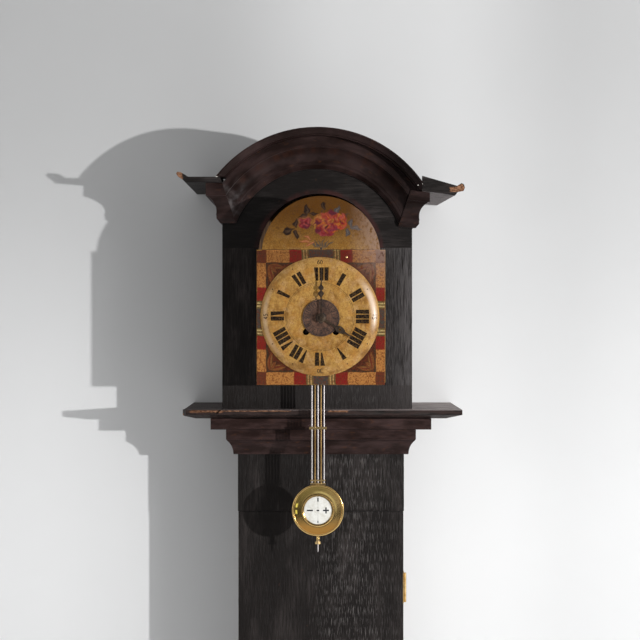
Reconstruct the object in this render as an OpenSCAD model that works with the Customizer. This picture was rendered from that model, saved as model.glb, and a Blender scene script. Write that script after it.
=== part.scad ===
// Longcase clock: an ebonised softwood case, and a shield-dial movement in its own
// wooden box hung on the front of the hood, with its pendulum in front of the case.
// X runs to the viewer's right, the dial faces -Y and Z is up. The origin is under
// the middle of the clock, on the floor. Depths are measured forward from the wall.

/* [Trunk and base] */
// Width of the trunk
trunk_w = 340; // [330:1:350]
// Depth of the trunk from the wall to its front
trunk_d = 182; // [178:1:192]
// Height of the trunk between its two mouldings
trunk_h = 902; // [800:1:960]
// Thickness of the case's side boards
side_t = 16; // [12:1:20]
// Thickness of the door and of the front rails
front_t = 18; // [16:1:22]
// Thickness of the backboard
back_t = 12; // [8:1:16]
// Height of the rail above the trunk door, up to the waist boards
top_rail_h = 148; // [120:1:180]
// Height of the rail under the trunk door
bottom_rail_h = 80; // [50:1:120]
// Height of the base box above the plinth
base_h = 420; // [340:1:480]
// How far the base box stands out from the trunk, in front and at the sides
base_step = 45; // [38:1:52]
// Height of the moulding between base and trunk
base_moulding_h = 60; // [48:1:72]
// Height of the plinth
plinth_h = 80; // [60:1:100]
// How far the plinth stands out from the base box
plinth_step = 12; // [6:1:18]
// Thickness of the plinth's boards
plinth_t = 14; // [10:1:18]
// Gap around the trunk door
door_gap = 1; // [0.5:0.1:2]

/* [Waist] */
// Height of the cove under the waist boards
cove_h = 31; // [26:1:36]
// How far the cove stands out at its foot
cove_foot = 8; // [5:1:10]
// How far the cove stands out at its top
cove_top = 22; // [18:1:26]
// Thickness of each of the two stepped boards
step_t = 22; // [18:1:26]
// Overhang of the lower stepped board at the sides
lower_over_side = 23; // [22:1:30]
// Overhang of the lower stepped board in front
lower_over_front = 20; // [18:1:28]
// Overhang of the upper stepped board at the sides
upper_over_side = 52.5; // [40:0.5:60]
// Overhang of the upper stepped board in front
upper_over_front = 42; // [34:1:48]
// Thickness of the shelf that the hood stands on
shelf_t = 19; // [16:1:24]
// Overhang of the shelf at the sides
shelf_over_side = 113; // [100:1:118]
// Overhang of the shelf in front
shelf_over_front = 63; // [56:1:68]
// Thickness left at the shelf's edge, above its sloped underside
shelf_edge = 10; // [8:1:14]
// Width of the slope under the shelf's edge
shelf_slope = 30; // [20:1:36]

/* [Hood] */
// Width of the hood
hood_w = 384.5; // [378:0.5:390]
// Sideways place of the hood on the shelf
hood_x = -7.6; // [-8:0.1:-5]
// Depth of the hood from the wall to its front
hood_d = 212; // [206:1:216]
// Thickness of the hood's front boards
hood_front_t = 12; // [10:1:14]
// Thickness of the hood's side boards
hood_side_t = 14; // [10:1:16]
// Height of the rail across the bottom of the hood's front
hood_rail_h = 63; // [50:1:70]
// Height of the stiles between that rail and the arched board
hood_stile_h = 263; // [250:1:270]
// How far the arch's centre lies under the arched board's lower edge
arch_drop = 18.6; // [17:0.1:20]
// How far the centre of the opening's arch lies under that edge
opening_drop = 13; // [6:1:16]
// Radius of the arched opening, and half its width
opening_r = 123; // [118:1:126]
// Sideways place of the arched opening
opening_x = -4; // [-6:0.5:-1]
// How far inside the hood's sides the arched moulding meets the wing boards
arch_inset = 1.96; // [0:0.02:4]
// Height of the horizontal cornice's foot above the arch's centre
cornice_rise = 68.6; // [66:0.2:70]
// Height of the cornice's bead
bead_h = 15; // [12:1:17]
// Height of the cornice's cove above the bead
cornice_cove_h = 38; // [34:1:40]
// Height of the flat band above the cove
band_h = 25.5; // [22:0.5:27]
// Width of the arched moulding as a share of the horizontal cornice's height
arch_share = 0.79; // [0.77:0.01:0.81]
// Width of the crown around the arched moulding
crown_h = 15; // [12:1:16]
// How far the cornice's bead stands out
bead_out = 11; // [9:1:13]
// How far the flat band over the cornice's cove stands out
band_out = 31; // [29:1:34]
// How far the crown of the arch stands out
crown_out = 58; // [55:1:60]
// Thickness of the bent boards of the roof
roof_t = 8; // [6:1:10]
// Thickness of the wing boards on the cornice
wing_t = 11; // [9:1:14]
// Overhang of the left wing board at the side
wing_over_side = 70.6; // [64:0.2:74]
// Overhang of the wing boards in front
wing_over_front = 45; // [42:1:47]

/* [Sagging right corner] */
// How far the side length of the right cornice has dropped
sag_side = 8; // [6:1:10]
// How far the short front length has dropped at its inner end
sag_front = 7; // [5:1:9]
// Tilt of that front length
sag_tilt = 6.3; // [5.5:0.1:7]
// How far that front length stands out past the side length
sag_out = 2.5; // [0:0.5:5]
// How far the right wing board has dropped at its inner end
wing_sag = 17; // [16:0.5:20]
// Tilt of the right wing board
wing_tilt = 7.9; // [7:0.1:8.5]
// Place of that board's inner end, outside the hood's side
wing_start = 17.5; // [15:0.5:20]

/* [Movement box] */
// Half the width of the box
box_half_w = 95; // [88:1:105]
// Height of the box between its top and bottom boards
box_h = 170; // [160:1:176]
// Height of the dial's centre above the box's bottom board
dial_above_board = 80.1; // [79:0.1:83]
// Reach of the box in front of its backboard
box_reach = 110; // [106:1:116]
// Thickness of the box's top and bottom boards and doors
box_t = 8; // [6:1:9]
// Thickness of the board that carries the box
box_back_t = 12; // [9:1:16]
// Radius of the pins that the box doors turn on
door_pin_r = 1.2; // [1:0.1:1.5]

/* [Dial] */
// Height of the dial's centre above the shelf
dial_rise = 184.1; // [182:0.1:188]
// Width of the shield
shield_w = 250; // [246:0.5:256]
// Height of the shield's square part
shield_h = 262.8; // [258:0.1:268]
// Distance from the dial's centre down to the shield's lower edge
shield_below = 130.4; // [126:0.2:136]
// Radius of the shield's lunette and of its raised dial
lunette_r = 115.6; // [112:0.1:118]
// Sideways place of the raised dial from the hands' arbor
raised_x = -2; // [-3:0.5:3]
// Height of the raised dial's centre above the hands' arbor
raised_up = 2.6; // [0:0.2:3]
// Radius of the flat part of the raised dial, inside its rounded edge
flat_r = 94; // [88:1:98]
// How far the lunette's centre lies under the square's upper edge
lunette_drop = 11; // [8:0.5:14]
// Thickness of the shield
shield_t = 10; // [7:0.5:12]
// Height of the raised dial in front of the shield
dial_h = 9; // [7:0.5:10]
// Radius of the corners at the shield's foot
shield_corner = 7; // [4:0.5:12]
// Distance of the winding arbors from the dial's centre, sideways
winding_across = 29; // [28.6:0.1:29.4]
// Distance of the winding arbors under the dial's centre
winding_down = 27.4; // [27:0.1:28]
// Radius of the winding holes
winding_hole_r = 6.2; // [5.5:0.1:7]
// Radius of the alarm disc
alarm_r = 36.2; // [34:0.1:37]
// Length of the minute hand
minute_len = 97; // [90:1:104]
// Length of the hour hand
hour_len = 70; // [62:1:76]
// Angle of the minute hand at rest, clockwise from noon
minute_at = 0.5; // [-12:0.5:12]
// Angle of the hour hand at rest, clockwise from noon
hour_at = 122; // [110:0.5:130]

/* [Movement] */
// Half the width of the plates
plate_half_w = 63; // [62:0.5:68]
// Height of the plates above the dial's centre
plate_up = 70; // [66:1:76]
// Thickness of the plates
plate_t = 2; // [1.5:0.1:2.5]
// Gap between the plates
plate_gap = 24; // [24:0.1:26]
// Teeth of the two great wheels
great_teeth = 64; // [62:1:65]
// Teeth of the intermediate wheel
inter_teeth = 56; // [54:1:58]
// Teeth of the centre wheel
centre_teeth = 64; // [62:1:65]
// Teeth of the third wheel
third_teeth = 68; // [66:1:69]
// Teeth of the escape wheel
escape_teeth = 40; // [36:1:42]
// Leaves of every pinion of the going and alarm trains
leaves = 8; // [7:1:8]
// Tooth module of the great wheels
great_m = 0.85; // [0.84:0.005:0.86]
// Tooth module of the intermediate wheel
inter_m = 0.7; // [0.69:0.005:0.71]
// Tooth module of the centre wheel
centre_m = 0.6; // [0.59:0.005:0.61]
// Tooth module of the third wheel
third_m = 0.5; // [0.49:0.005:0.51]
// Teeth of the cannon pinion
cannon_teeth = 12; // [10:1:12]
// Teeth of the minute wheel
minute_wheel_teeth = 36; // [34:1:38]
// Teeth of the minute wheel's pinion
minute_pinion_teeth = 8; // [8:1:9]
// Teeth of the hour wheel
hour_teeth = 32; // [30:1:33]
// Distance between the centre arbor and the minute wheel's stud
motion_span = 13.2; // [13:0.1:13.6]
// Radius of the escape wheel
escape_r = 15; // [14.5:0.1:15.2]
// Radius of the alarm's escape wheel
alarm_wheel_r = 12.5; // [12:0.1:13]
// Radius of the arbors
arbor_r = 1.2; // [1:0.05:1.4]
// Radius of the centre arbor
centre_arbor_r = 1.5; // [1.4:0.05:1.6]
// Radius of the barrels
barrel_r = 23; // [21:0.5:24]
// Radius of the bell at its mouth
bell_r = 26; // [24:0.5:27]

/* [Pendulum] */
// Sideways place of the pendulum from the dial's centre
pendulum_x = -6; // [-7:0.5:-5]
// Height of the suspension's flexing point above the dial's centre
suspension_up = 52; // [50:0.5:54]
// Length from the flexing point to the bob's centre
pendulum_len = 432.9; // [420:0.1:450]
// How far the pendulum hangs in front of the hood
pendulum_out = 55; // [54:0.5:58]
// Gap between the pendulum's plane and the back plate
pendulum_gap = 6; // [5.5:0.1:7]
// Radius of the grid's rods
rod_r = 1.65; // [1.4:0.05:1.8]
// Distance between neighbouring rods
rod_pitch = 6.03; // [5.4:0.01:6.6]
// Length from the flexing point to the top crossbar
top_bar_at = 160.4; // [159:0.2:168]
// Length from the flexing point to the middle crossbar
mid_bar_at = 270.4; // [250:0.2:300]
// Radius of the bob
bob_r = 51.6; // [48:0.1:54]
// Radius of the ring around the bob's enamel disc
bezel_r = 31; // [29:0.5:33]
// Radius of the enamel disc
enamel_r = 27.5; // [26:0.5:28]
// Length of the rod under the bob
tail_len = 32; // [28:1:40]
// Radius of the rating nut
nut_r = 5.9; // [5:0.1:7]

/* [Fits] */
// Radial clearance of a pin or arbor that turns in its hole
fit = 0.05; // [0.02:0.01:0.08]
// Clearance between pieces that slide past each other
slide_gap = 0.5; // [0.3:0.1:0.8]
// Extra distance between the arbors of two meshing wheels
depthing = 0.05; // [0.03:0.01:0.08]

/* [Hidden] */
$fn = 72;

// Colours
ebonised = [0.13, 0.11, 0.11];
red_brown = [0.26, 0.15, 0.11];
inner_wood = [0.55, 0.38, 0.22];
cream = [0.80, 0.66, 0.42];
brass = [0.80, 0.62, 0.28];
steel = [0.66, 0.66, 0.68];
copper = [0.50, 0.36, 0.28];
enamel = [0.93, 0.92, 0.88];

// Pairs of measures: across and in front, or across and up
lower_over = [lower_over_side, lower_over_front];
upper_over = [upper_over_side, upper_over_front];
shelf_over = [shelf_over_side, shelf_over_front];
wing_over = [wing_over_side, wing_over_front];
shield = [shield_w, shield_h];
winding_at = [winding_across, winding_down];
motion_teeth = [cannon_teeth, minute_wheel_teeth, minute_pinion_teeth, hour_teeth];
cornice_out = [bead_out, band_out, crown_out];

// Heights above the floor
base_top = plinth_h + base_h;
trunk_foot = base_top + base_moulding_h;
trunk_top = trunk_foot + trunk_h;
steps_foot = trunk_top + cove_h;
shelf_foot = steps_foot + 2 * step_t;
seat_z = shelf_foot + shelf_t;
stile_foot = seat_z + hood_rail_h;
arch_foot = stile_foot + hood_stile_h;
arch_z = arch_foot - arch_drop;
opening_z = arch_foot - opening_drop;
cornice_foot = arch_z + cornice_rise;
band_top = bead_h + cornice_cove_h + band_h;
wing_z = cornice_foot + band_top;
dial_z = seat_z + dial_rise;
board_z = dial_z - dial_above_board;
suspension_z = dial_z + suspension_up;
door_foot = trunk_foot + bottom_rail_h;
door_top = steps_foot - top_rail_h;

// Depths in front of the wall
hood_back_face = hood_d - hood_front_t;
shield_back = hood_back_face + box_reach;
shield_face = shield_back + shield_t;
dial_face = shield_face + dial_h;
pendulum_v = hood_d + pendulum_out;
back_plate_v = pendulum_v + pendulum_gap;
frame_v = back_plate_v + plate_t;
front_plate_v = frame_v + plate_gap;
motion_v = front_plate_v + plate_t;
hand_t = 1.2;
alarm_disc_v = dial_face + 1.5;
hour_hand_v = alarm_disc_v + hand_t + 1.8;
minute_hand_v = hour_hand_v + hand_t + 2.3;
nut_t = 3.5;
depth = minute_hand_v + hand_t + 0.3 + nut_t;
half_depth = depth / 2;

// Half widths
half_trunk = trunk_w / 2;
half_hood = hood_w / 2;
roof_r = sqrt(pow(half_hood - arch_inset, 2) + pow(wing_z - arch_z, 2));
arch_r = roof_r - arch_share * band_top;
inner_trunk = half_trunk - side_t;
half_base = half_trunk + base_step;
base_d = trunk_d + base_step;

// A board between two limits in each of x, depth and z
module slab(x, v, z) {
    translate([x[0], half_depth - v[1], z[0]])
        cube([x[1] - x[0], v[1] - v[0], z[1] - z[0]]);
}

// The same board on both sides of the clock, or of another middle
module both_sides(x, v, z, middle = 0) {
    slab([middle + x[0], middle + x[1]], v, z);
    slab([middle - x[1], middle - x[0]], v, z);
}

// An outline drawn as seen from the front, made t thick, forward from depth v
module outline(v, t) {
    translate([0, half_depth - v, 0]) rotate([90, 0, 0]) linear_extrude(t) children();
}

// A profile of radius and forward reach, turned about an axis that points forward
module turned(v) {
    translate([0, half_depth - v, 0]) rotate([90, 0, 0]) rotate_extrude() children();
}

// A round bar that points forward from depth v
module bar(v, r, t) {
    translate([0, half_depth - v, 0]) rotate([90, 0, 0]) cylinder(r = r, h = t);
}

// Moves a piece of the movement to its place across and above the dial's centre
module at(p) {
    translate([p[0], 0, dial_z + p[1]]) children();
}

// A plan outline of x and depth, extruded upward from z
module plan(z, h) {
    translate([0, half_depth, z]) mirror([0, 1, 0]) linear_extrude(h) children();
}

// A board around the trunk, open at the back, with its own overhangs
module collar(over, z, t) {
    difference() {
        slab([-half_trunk - over[0], half_trunk + over[0]], [0, trunk_d + over[1]], [z, z + t]);
        slab([-half_trunk - door_gap, half_trunk + door_gap], [-1, back_t], [z - 1, z + t + 1]);
        slab([-inner_trunk, inner_trunk], [-1, trunk_d - front_t], [z - 1, z + t + 1]);
    }
}

// The front length of a moulding, and the length along its right side
module front_run(half_w, d, reach, z) {
    translate([half_w + reach, half_depth - d, z]) rotate([90, 0, -90])
        linear_extrude(2 * (half_w + reach)) children();
}

module side_run(half_w, d, reach, z) {
    translate([half_w, half_depth, z]) rotate([90, 0, 0])
        linear_extrude(d + reach) children();
}

// What lies in front of, or to the right of, the mitres at a box's front corners
module front_of_mitre(half_w, d, reach, z, h) {
    plan(z, h) polygon([[-half_w, d], [half_w, d], [half_w + reach, d + reach],
        [-half_w - reach, d + reach]]);
}

module beside_mitre(half_w, d, reach, z, h) {
    plan(z, h) polygon([[half_w, -1], [half_w, d], [half_w + reach, d + reach],
        [half_w + reach, -1]]);
}

// A moulding around a box as three mitred lengths
module mitred(half_w, d, reach, z, h) {
    intersection() {
        front_run(half_w, d, reach, z) children();
        front_of_mitre(half_w, d, reach, z - 1, h + 2);
    }
    for (s = [0, 1]) mirror([s, 0, 0]) intersection() {
        side_run(half_w, d, reach, z) children();
        beside_mitre(half_w, d, reach, z - 1, h + 2);
    }
}

// The hollow of a moulding: an arc that sinks to the given depth to the left of the
// line from p to q, between two narrow flats
module hollow(p, q, sink) {
    flat = 2;
    chord = norm(q - p) - 2 * flat;
    r = (chord * chord / 4 + sink * sink) / (2 * sink);
    translate(p) rotate(atan2(q[1] - p[1], q[0] - p[0])) intersection() {
        translate([flat + chord / 2, sink - r]) circle(r);
        translate([0, -0.5]) square([chord + 2 * flat, sink + 1]);
    }
}

// Case

module backboard() {
    hood_part = half_hood - hood_side_t - slide_gap;
    color(inner_wood) outline(0, back_t) {
        translate([-half_base, 0]) square([2 * half_base, base_top]);
        translate([-half_trunk, 0]) square([trunk_w, seat_z]);
        translate([hood_x - hood_part, seat_z]) square([2 * hood_part, wing_z - seat_z]);
        intersection() {
            translate([hood_x - hood_part, seat_z]) square([2 * hood_part, arch_z]);
            translate([hood_x, arch_z]) circle(roof_r - roof_t - slide_gap);
        }
    }
}

// The trunk's sides, the left one with a round mortise for the latch's bar
module trunk_sides() {
    color(ebonised) difference() {
        both_sides([inner_trunk, half_trunk], [back_t, trunk_d - front_t], [base_top, steps_foot]);
        translate([latch_at[0], 0, latch_at[1]])
            bar(hinge_v - latch_bar_t - 1, latch_reach + 1.5, latch_bar_t + 2);
    }
}

// The rails above and under the door, flush with it
module trunk_rails() {
    color(ebonised) {
        slab([-half_trunk, half_trunk], [trunk_d - front_t, trunk_d], [door_top, steps_foot]);
        slab([-half_trunk, half_trunk], [trunk_d - front_t, trunk_d], [base_top, door_foot]);
    }
}

// The shelf, thinned under its edge by a slope, its left front corner chipped and broken
module waist_shelf() {
    end = -half_trunk - shelf_over[0];
    front = trunk_d + shelf_over[1];
    color(ebonised) difference() {
        collar(shelf_over, shelf_foot, shelf_t);
        plan(shelf_foot - 1, shelf_t + 2)
            polygon([[end - 1, -1], [end + 6, -1], [end + 7, front - 26], [end + 5, front - 15],
                [end + 9, front - 7], [end + 13, front + 1], [end - 1, front + 1]]);
        outline(front - 6, 7) translate([end, seat_z])
            polygon([[20, 1], [27, -5], [38, -4], [49, -7], [62, -5], [76, -8], [85, 1]]);
        front_run(half_trunk + shelf_over[0], trunk_d + shelf_over[1], 1, shelf_foot)
            shelf_slope_cut();
        for (s = [0, 1]) mirror([s, 0, 0])
            side_run(half_trunk + shelf_over[0], trunk_d + shelf_over[1], 1, shelf_foot)
                shelf_slope_cut();
    }
}

module shelf_slope_cut() {
    rise = shelf_t - shelf_edge;
    polygon([[-shelf_slope, 0], [0, rise], [2, rise], [2, -1], [-shelf_slope, -1]]);
}

module waist_steps() {
    color(red_brown) {
        collar(lower_over, steps_foot, step_t);
        collar(upper_over, steps_foot + step_t, step_t);
    }
}

module waist_cove() {
    foot = [cove_foot, 0];
    top = [cove_top, cove_h];
    color(red_brown) mitred(half_trunk, trunk_d, cove_top, trunk_top, cove_h)
        difference() {
            polygon([[0, 0], foot, top, [0, cove_h]]);
            hollow(foot, top, 3);
        }
}

module base_panels() {
    inner = half_base - side_t;
    color(ebonised) {
        slab([-half_base, half_base], [base_d - front_t, base_d], [0, base_top]);
        both_sides([inner, half_base], [back_t, base_d - front_t], [0, base_top]);
    }
}

// The moulding that steps in from the base box to the trunk
module base_moulding() {
    lip = 10;
    foot = [base_step - 4, lip];
    top = [cove_foot, base_moulding_h - lip / 2];
    color(red_brown) mitred(half_trunk, trunk_d, base_step, base_top, base_moulding_h)
        difference() {
            polygon([[0, 0], [base_step, 0], [base_step, lip], foot, top,
                [cove_foot, base_moulding_h], [0, base_moulding_h]]);
            hollow(foot, top, 8);
        }
}

module plinth() {
    bevel = 8;
    color(ebonised) mitred(half_base, base_d, plinth_step, 0, plinth_h)
        polygon([[0, 0], [plinth_step, 0], [plinth_step, plinth_h - bevel], [4, plinth_h],
            [0, plinth_h]]);
}

module floor_board() {
    inner = half_base - side_t;
    color(inner_wood)
        slab([-inner, inner], [back_t, base_d - front_t], [plinth_h - plinth_t, plinth_h]);
}

// Trunk door, hung on two butt hinges at its right edge, with a turning latch

hinge_r = 3;
hinge_pin_r = 1.5;
hinge_h = 60;
hinge_leaf_t = 2;
hinge_x = half_trunk + hinge_r;
hinge_v = trunk_d - front_t;
hinge_inset = 130;
hinge_at = [door_foot + hinge_inset, door_top - hinge_inset - hinge_h];
knuckle_h = hinge_h / 3;
knuckle_gap = 0.3;
half_door = half_trunk - hinge_leaf_t;
latch_at = [-138, (door_foot + door_top) / 2];
latch_r = 4;
latch_reach = 24;
latch_bar_t = 8;

module door_hinge_leaves() {
    color(brass) for (z = hinge_at) {
        slab([half_trunk, half_trunk + hinge_leaf_t], [hinge_v - 26, hinge_v - 4], [z, z + hinge_h]);
        for (k = [0, 2]) translate([0, 0, z + k * knuckle_h]) {
            slab([half_trunk, half_trunk + hinge_leaf_t], [hinge_v - 5, hinge_v], [0, knuckle_h]);
            translate([hinge_x, half_depth - hinge_v, 0]) cylinder(r = hinge_r, h = knuckle_h);
        }
        translate([hinge_x, half_depth - hinge_v, z]) cylinder(r = hinge_pin_r, h = hinge_h);
    }
}

module door_hinge_straps() {
    color(brass) for (z = hinge_at) difference() {
        union() {
            slab([half_door, half_trunk], [hinge_v + 0.5, trunk_d - 2], [z, z + hinge_h]);
            translate([0, 0, z + knuckle_h + knuckle_gap]) {
                slab([half_door, hinge_x], [hinge_v + 0.5, hinge_v + hinge_r],
                    [0, knuckle_h - 2 * knuckle_gap]);
                translate([hinge_x, half_depth - hinge_v, 0])
                    cylinder(r = hinge_r, h = knuckle_h - 2 * knuckle_gap);
            }
        }
        translate([hinge_x, half_depth - hinge_v, z - 1])
            cylinder(r = hinge_pin_r + fit, h = hinge_h + 2);
    }
}

module trunk_door() {
    color(ebonised) difference() {
        slab([-half_door, half_door], [hinge_v, trunk_d], [door_foot + door_gap, door_top - door_gap]);
        translate([latch_at[0], 0, latch_at[1]]) bar(hinge_v - 1, latch_r + fit, front_t + 2);
    }
}

// A turned knob in front, a shaft through the door and a bar that turns behind it
module door_latch() {
    color(brass) translate([latch_at[0], 0, latch_at[1]]) {
        bar(hinge_v - 0.2 - latch_bar_t, latch_r, front_t + latch_bar_t + 2);
        turned(trunk_d + 0.3) {
            square([12, 1.5]);
            square([4.5, 16]);
            translate([0, 18]) intersection() {
                circle(10);
                square([10, 20], center = false);
            }
            translate([0, 14]) square([10, 4]);
        }
        slab([-6, 6], [hinge_v - 0.2 - latch_bar_t, hinge_v - 0.2], [-7, latch_reach]);
    }
}

// Hood

hood_left = hood_x - half_hood;
hood_right = hood_x + half_hood;

module hood_sides() {
    color(ebonised) both_sides([half_hood - hood_side_t, half_hood], [0, hood_back_face],
        [seat_z, wing_z], hood_x);
}

// Two stiles over the bottom rail
module hood_frame() {
    z = [stile_foot, arch_foot];
    color(ebonised) {
        slab([hood_left, opening_x - opening_r], [hood_back_face, hood_d], z);
        slab([opening_x + opening_r, hood_right], [hood_back_face, hood_d], z);
        slab([hood_left, hood_right], [hood_back_face, hood_d], [seat_z, stile_foot]);
    }
}

module hood_arch_board() {
    color(ebonised) outline(hood_back_face, hood_front_t) difference() {
        intersection() {
            translate([hood_left, arch_foot]) square([hood_w, arch_z]);
            union() {
                translate([hood_left, arch_foot]) square([hood_w, wing_z - arch_foot]);
                translate([hood_x, arch_z]) circle(roof_r - roof_t - 0.3);
            }
        }
        translate([opening_x, opening_z]) circle(opening_r);
    }
}

// The bent roof, from the wall to the hood's front
module hood_roof() {
    color(ebonised) outline(0, hood_d) intersection() {
        translate([hood_x, arch_z]) difference() {
            circle(roof_r);
            circle(roof_r - roof_t);
        }
        translate([hood_x - roof_r, wing_z]) square([2 * roof_r, roof_r]);
    }
}

// The section of the cornice: its bead, cove and band by reach and height, the heights
// times share
module cornice_section(share = 1) {
    bead = cornice_out[0];
    band = cornice_out[1];
    cove_foot_at = [bead, share * bead_h];
    cove_top_at = [band - 4, share * (bead_h + cornice_cove_h)];
    difference() {
        polygon([[0, 0], [4, 0], [bead, share * 9], cove_foot_at, cove_top_at,
            [band, cove_top_at[1]], [band, share * band_top], [0, share * band_top]]);
        hollow(cove_foot_at, cove_top_at, 6 * share);
    }
}

// The section of the crown that stands over the arch's band
module crown_section() {
    reach = cornice_out[2];
    polygon([[0, 0], [wing_over[1], 0], [wing_over[1], 3], [wing_over[1] + 4, 3],
        [wing_over[1] + 7, 7], [reach - 2, crown_h - 3], [reach, crown_h - 3],
        [reach, crown_h], [0, crown_h]]);
}

// Half the distance between the mitres of arch and cornice, h above the cornice's foot
function meet_x(h) = sqrt(pow(arch_r + arch_share * h, 2) - pow(cornice_rise + h, 2));
function mitre_x(h) = meet_x(0) + (meet_x(band_top) - meet_x(0)) * h / band_top;

// The front view of the part that belongs to the arch, or to the cornice right of it
module arch_side() {
    low = -30;
    high = 2 * arch_r;
    polygon([[-mitre_x(low), cornice_foot + low], [-mitre_x(high), cornice_foot + high],
        [mitre_x(high), cornice_foot + high], [mitre_x(low), cornice_foot + low]]);
    over_loose_end();
}

// What lies under the slope on which the loose wing board rests
module under_wing(gap) {
    reach = 2 * hood_w;
    translate([half_hood + wing_start, wing_z - wing_sag]) rotate(-wing_tilt)
        translate([-reach / 2, -reach - gap]) square([reach, reach]);
}

// The arch's old seat on the right cornice, now open between the slope and the wing
module over_loose_end() {
    difference() {
        translate([0, cornice_foot]) square([half_hood + wing_start - 1, wing_z - cornice_foot + wing_t]);
        under_wing(-0.6);
    }
}

module wing_side(gap) {
    low = -30;
    high = band_top + 70;
    polygon([[mitre_x(low) + gap, cornice_foot + low], [mitre_x(high) + gap, cornice_foot + high],
        [hood_w, cornice_foot + high], [hood_w, cornice_foot + low]]);
}

// The arched length between its mitres, and the crown, which ends on the left wing board
module arch_moulding() {
    wide = 2 * roof_r;
    color(red_brown) translate([hood_x, 0, 0]) {
        intersection() {
            translate([0, 0, arch_z]) turned(hood_d)
                translate([arch_r, 0]) mirror([1, -1]) cornice_section(arch_share);
            outline(hood_d - 1, cornice_out[2] + 2) arch_side();
        }
        intersection() {
            translate([0, 0, arch_z]) turned(hood_d)
                translate([roof_r, 0]) mirror([1, -1]) crown_section();
            outline(hood_d - 1, cornice_out[2] + 2) {
                translate([-wide, wing_z + wing_t]) square([2 * wide, wide]);
                over_loose_end();
            }
        }
    }
}

// The short front length right of the arch, and the length along the right side
module cornice_front(gap, out = 0) {
    reach = cornice_out[1];
    intersection() {
        children();
        outline(hood_d - 1, reach + 2) wing_side(gap);
        front_of_mitre(half_hood + out, hood_d, reach + 1, cornice_foot - 40, band_top + 80);
    }
}

module cornice_side() {
    reach = cornice_out[1];
    intersection() {
        side_run(half_hood, hood_d, reach, cornice_foot) cornice_section();
        beside_mitre(half_hood, hood_d, reach, cornice_foot - 1, band_top + 2);
    }
}

module cornice_left() {
    color(red_brown) translate([hood_x, 0, 0]) mirror([1, 0, 0]) {
        cornice_front(0)
            front_run(half_hood, hood_d, cornice_out[1], cornice_foot) cornice_section();
        cornice_side();
    }
}

// The right cornice has come loose: its front length tilts, both have dropped, and their
// top edge has split off along the slope of the wing board
sag_pivot = [half_hood - 20.25, wing_z];

module cornice_right() {
    color(red_brown) translate([hood_x, 0, 0]) intersection() {
        union() {
            cornice_front(1.5, sag_out)
                translate([sag_pivot[0], 0, sag_pivot[1] - sag_front]) rotate([0, sag_tilt, 0])
                    translate([-sag_pivot[0], 0, -sag_pivot[1]])
                        front_run(hood_w, hood_d, cornice_out[1], cornice_foot) cornice_section();
            translate([0, 0, -sag_side]) cornice_side();
        }
        outline(-1, hood_d + cornice_out[1] + 2) under_wing(fit);
    }
}

wing_inner = sqrt(pow(roof_r, 2) - pow(wing_z - arch_z, 2)) + slide_gap;
wing_front = hood_d + wing_over[1];

// A board on the cornice, with a splinter of its lost crown at the outer end
module wing_board_left() {
    end = half_hood + wing_over[0];
    color(ebonised) translate([hood_x, 0, 0]) mirror([1, 0, 0]) {
        slab([wing_inner, end], [0, hood_d], [wing_z, wing_z + wing_t]);
        intersection() {
            slab([0, end], [hood_d, wing_front], [wing_z, wing_z + wing_t]);
            outline(hood_d, wing_over[1]) wing_side(0);
        }
        outline(wing_front - 14, 14) translate([end, wing_z])
            polygon([[-8, wing_t - 1], [0, 0], [7, 7], [15, 12], [18, 17], [16, 21],
                [9, 20], [2, 16], [-4, 12]]);
    }
}

// The same board on the right keeps its crown, and hangs from the loose cornice
module wing_board_right() {
    front_end = 66;
    back_end = 52;
    color(ebonised) translate([hood_right + wing_start, 0, wing_z - wing_sag])
        rotate([0, wing_tilt, 0]) {
            plan(0, wing_t)
                polygon([[0, 0], [back_end, 0], [front_end, wing_front], [0, wing_front]]);
            outline(wing_front - 14, 14)
                polygon([[0, 0], [front_end, 0], [front_end + 5, 8.4], [front_end + 15.6, 11.9],
                    [front_end + 17, 18], [front_end + 14, 24.2], [front_end + 9, 25.8],
                    [front_end + 1.5, 19.3], [front_end - 12, 21.2], [-4, 29.4]]);
        }
}

// Movement box

door_pin_at = [box_half_w - box_t / 2, hood_d + 5];
box_top_z = board_z + box_h;
pin_len = 6;

module box_board(z) {
    slab([-box_half_w, box_half_w], [hood_back_face, shield_back], [z, z + box_t]);
}

module door_pin_bores(z) {
    for (s = [-1, 1]) translate([s * door_pin_at[0], half_depth - door_pin_at[1], z])
        cylinder(r = door_pin_r + fit, h = box_t + 2);
}

module box_top() {
    color(inner_wood) difference() {
        box_board(box_top_z);
        door_pin_bores(box_top_z - 1);
    }
}

// The bottom board, with a slot in which the pendulum swings
module box_bottom() {
    reach = (suspension_z - board_z + box_t) * sin(4) + rod_r + 3;
    color(inner_wood) difference() {
        box_board(board_z - box_t);
        door_pin_bores(board_z - box_t - 1);
        slab([pendulum_x - reach, pendulum_x + reach], [pendulum_v - 5, pendulum_v + 5],
            [board_z - box_t - 1, board_z + 1]);
    }
}

// The board inside the hood that carries the box, screwed to the stiles
module box_back() {
    color(inner_wood)
        slab([hood_left + hood_side_t + 28, hood_right - hood_side_t - 28],
            [hood_back_face - box_back_t, hood_back_face], [board_z - 40, box_top_z + 40]);
}

module box_door() {
    gap = slide_gap;
    color(inner_wood) {
        difference() {
            slab([box_half_w - box_t, box_half_w], [hood_d + 1, shield_back - gap],
                [board_z + gap, box_top_z - gap]);
            slab([box_half_w - 1.5, box_half_w + 1], [hood_d + 16, shield_back - 16],
                [board_z + 18, box_top_z - 18]);
        }
        translate([door_pin_at[0], half_depth - door_pin_at[1], board_z - pin_len])
            cylinder(r = door_pin_r, h = box_h + 2 * pin_len);
    }
}

module box_door_right() {
    box_door();
}

module box_door_left() {
    mirror([1, 0, 0]) box_door();
}

// Dial

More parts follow.
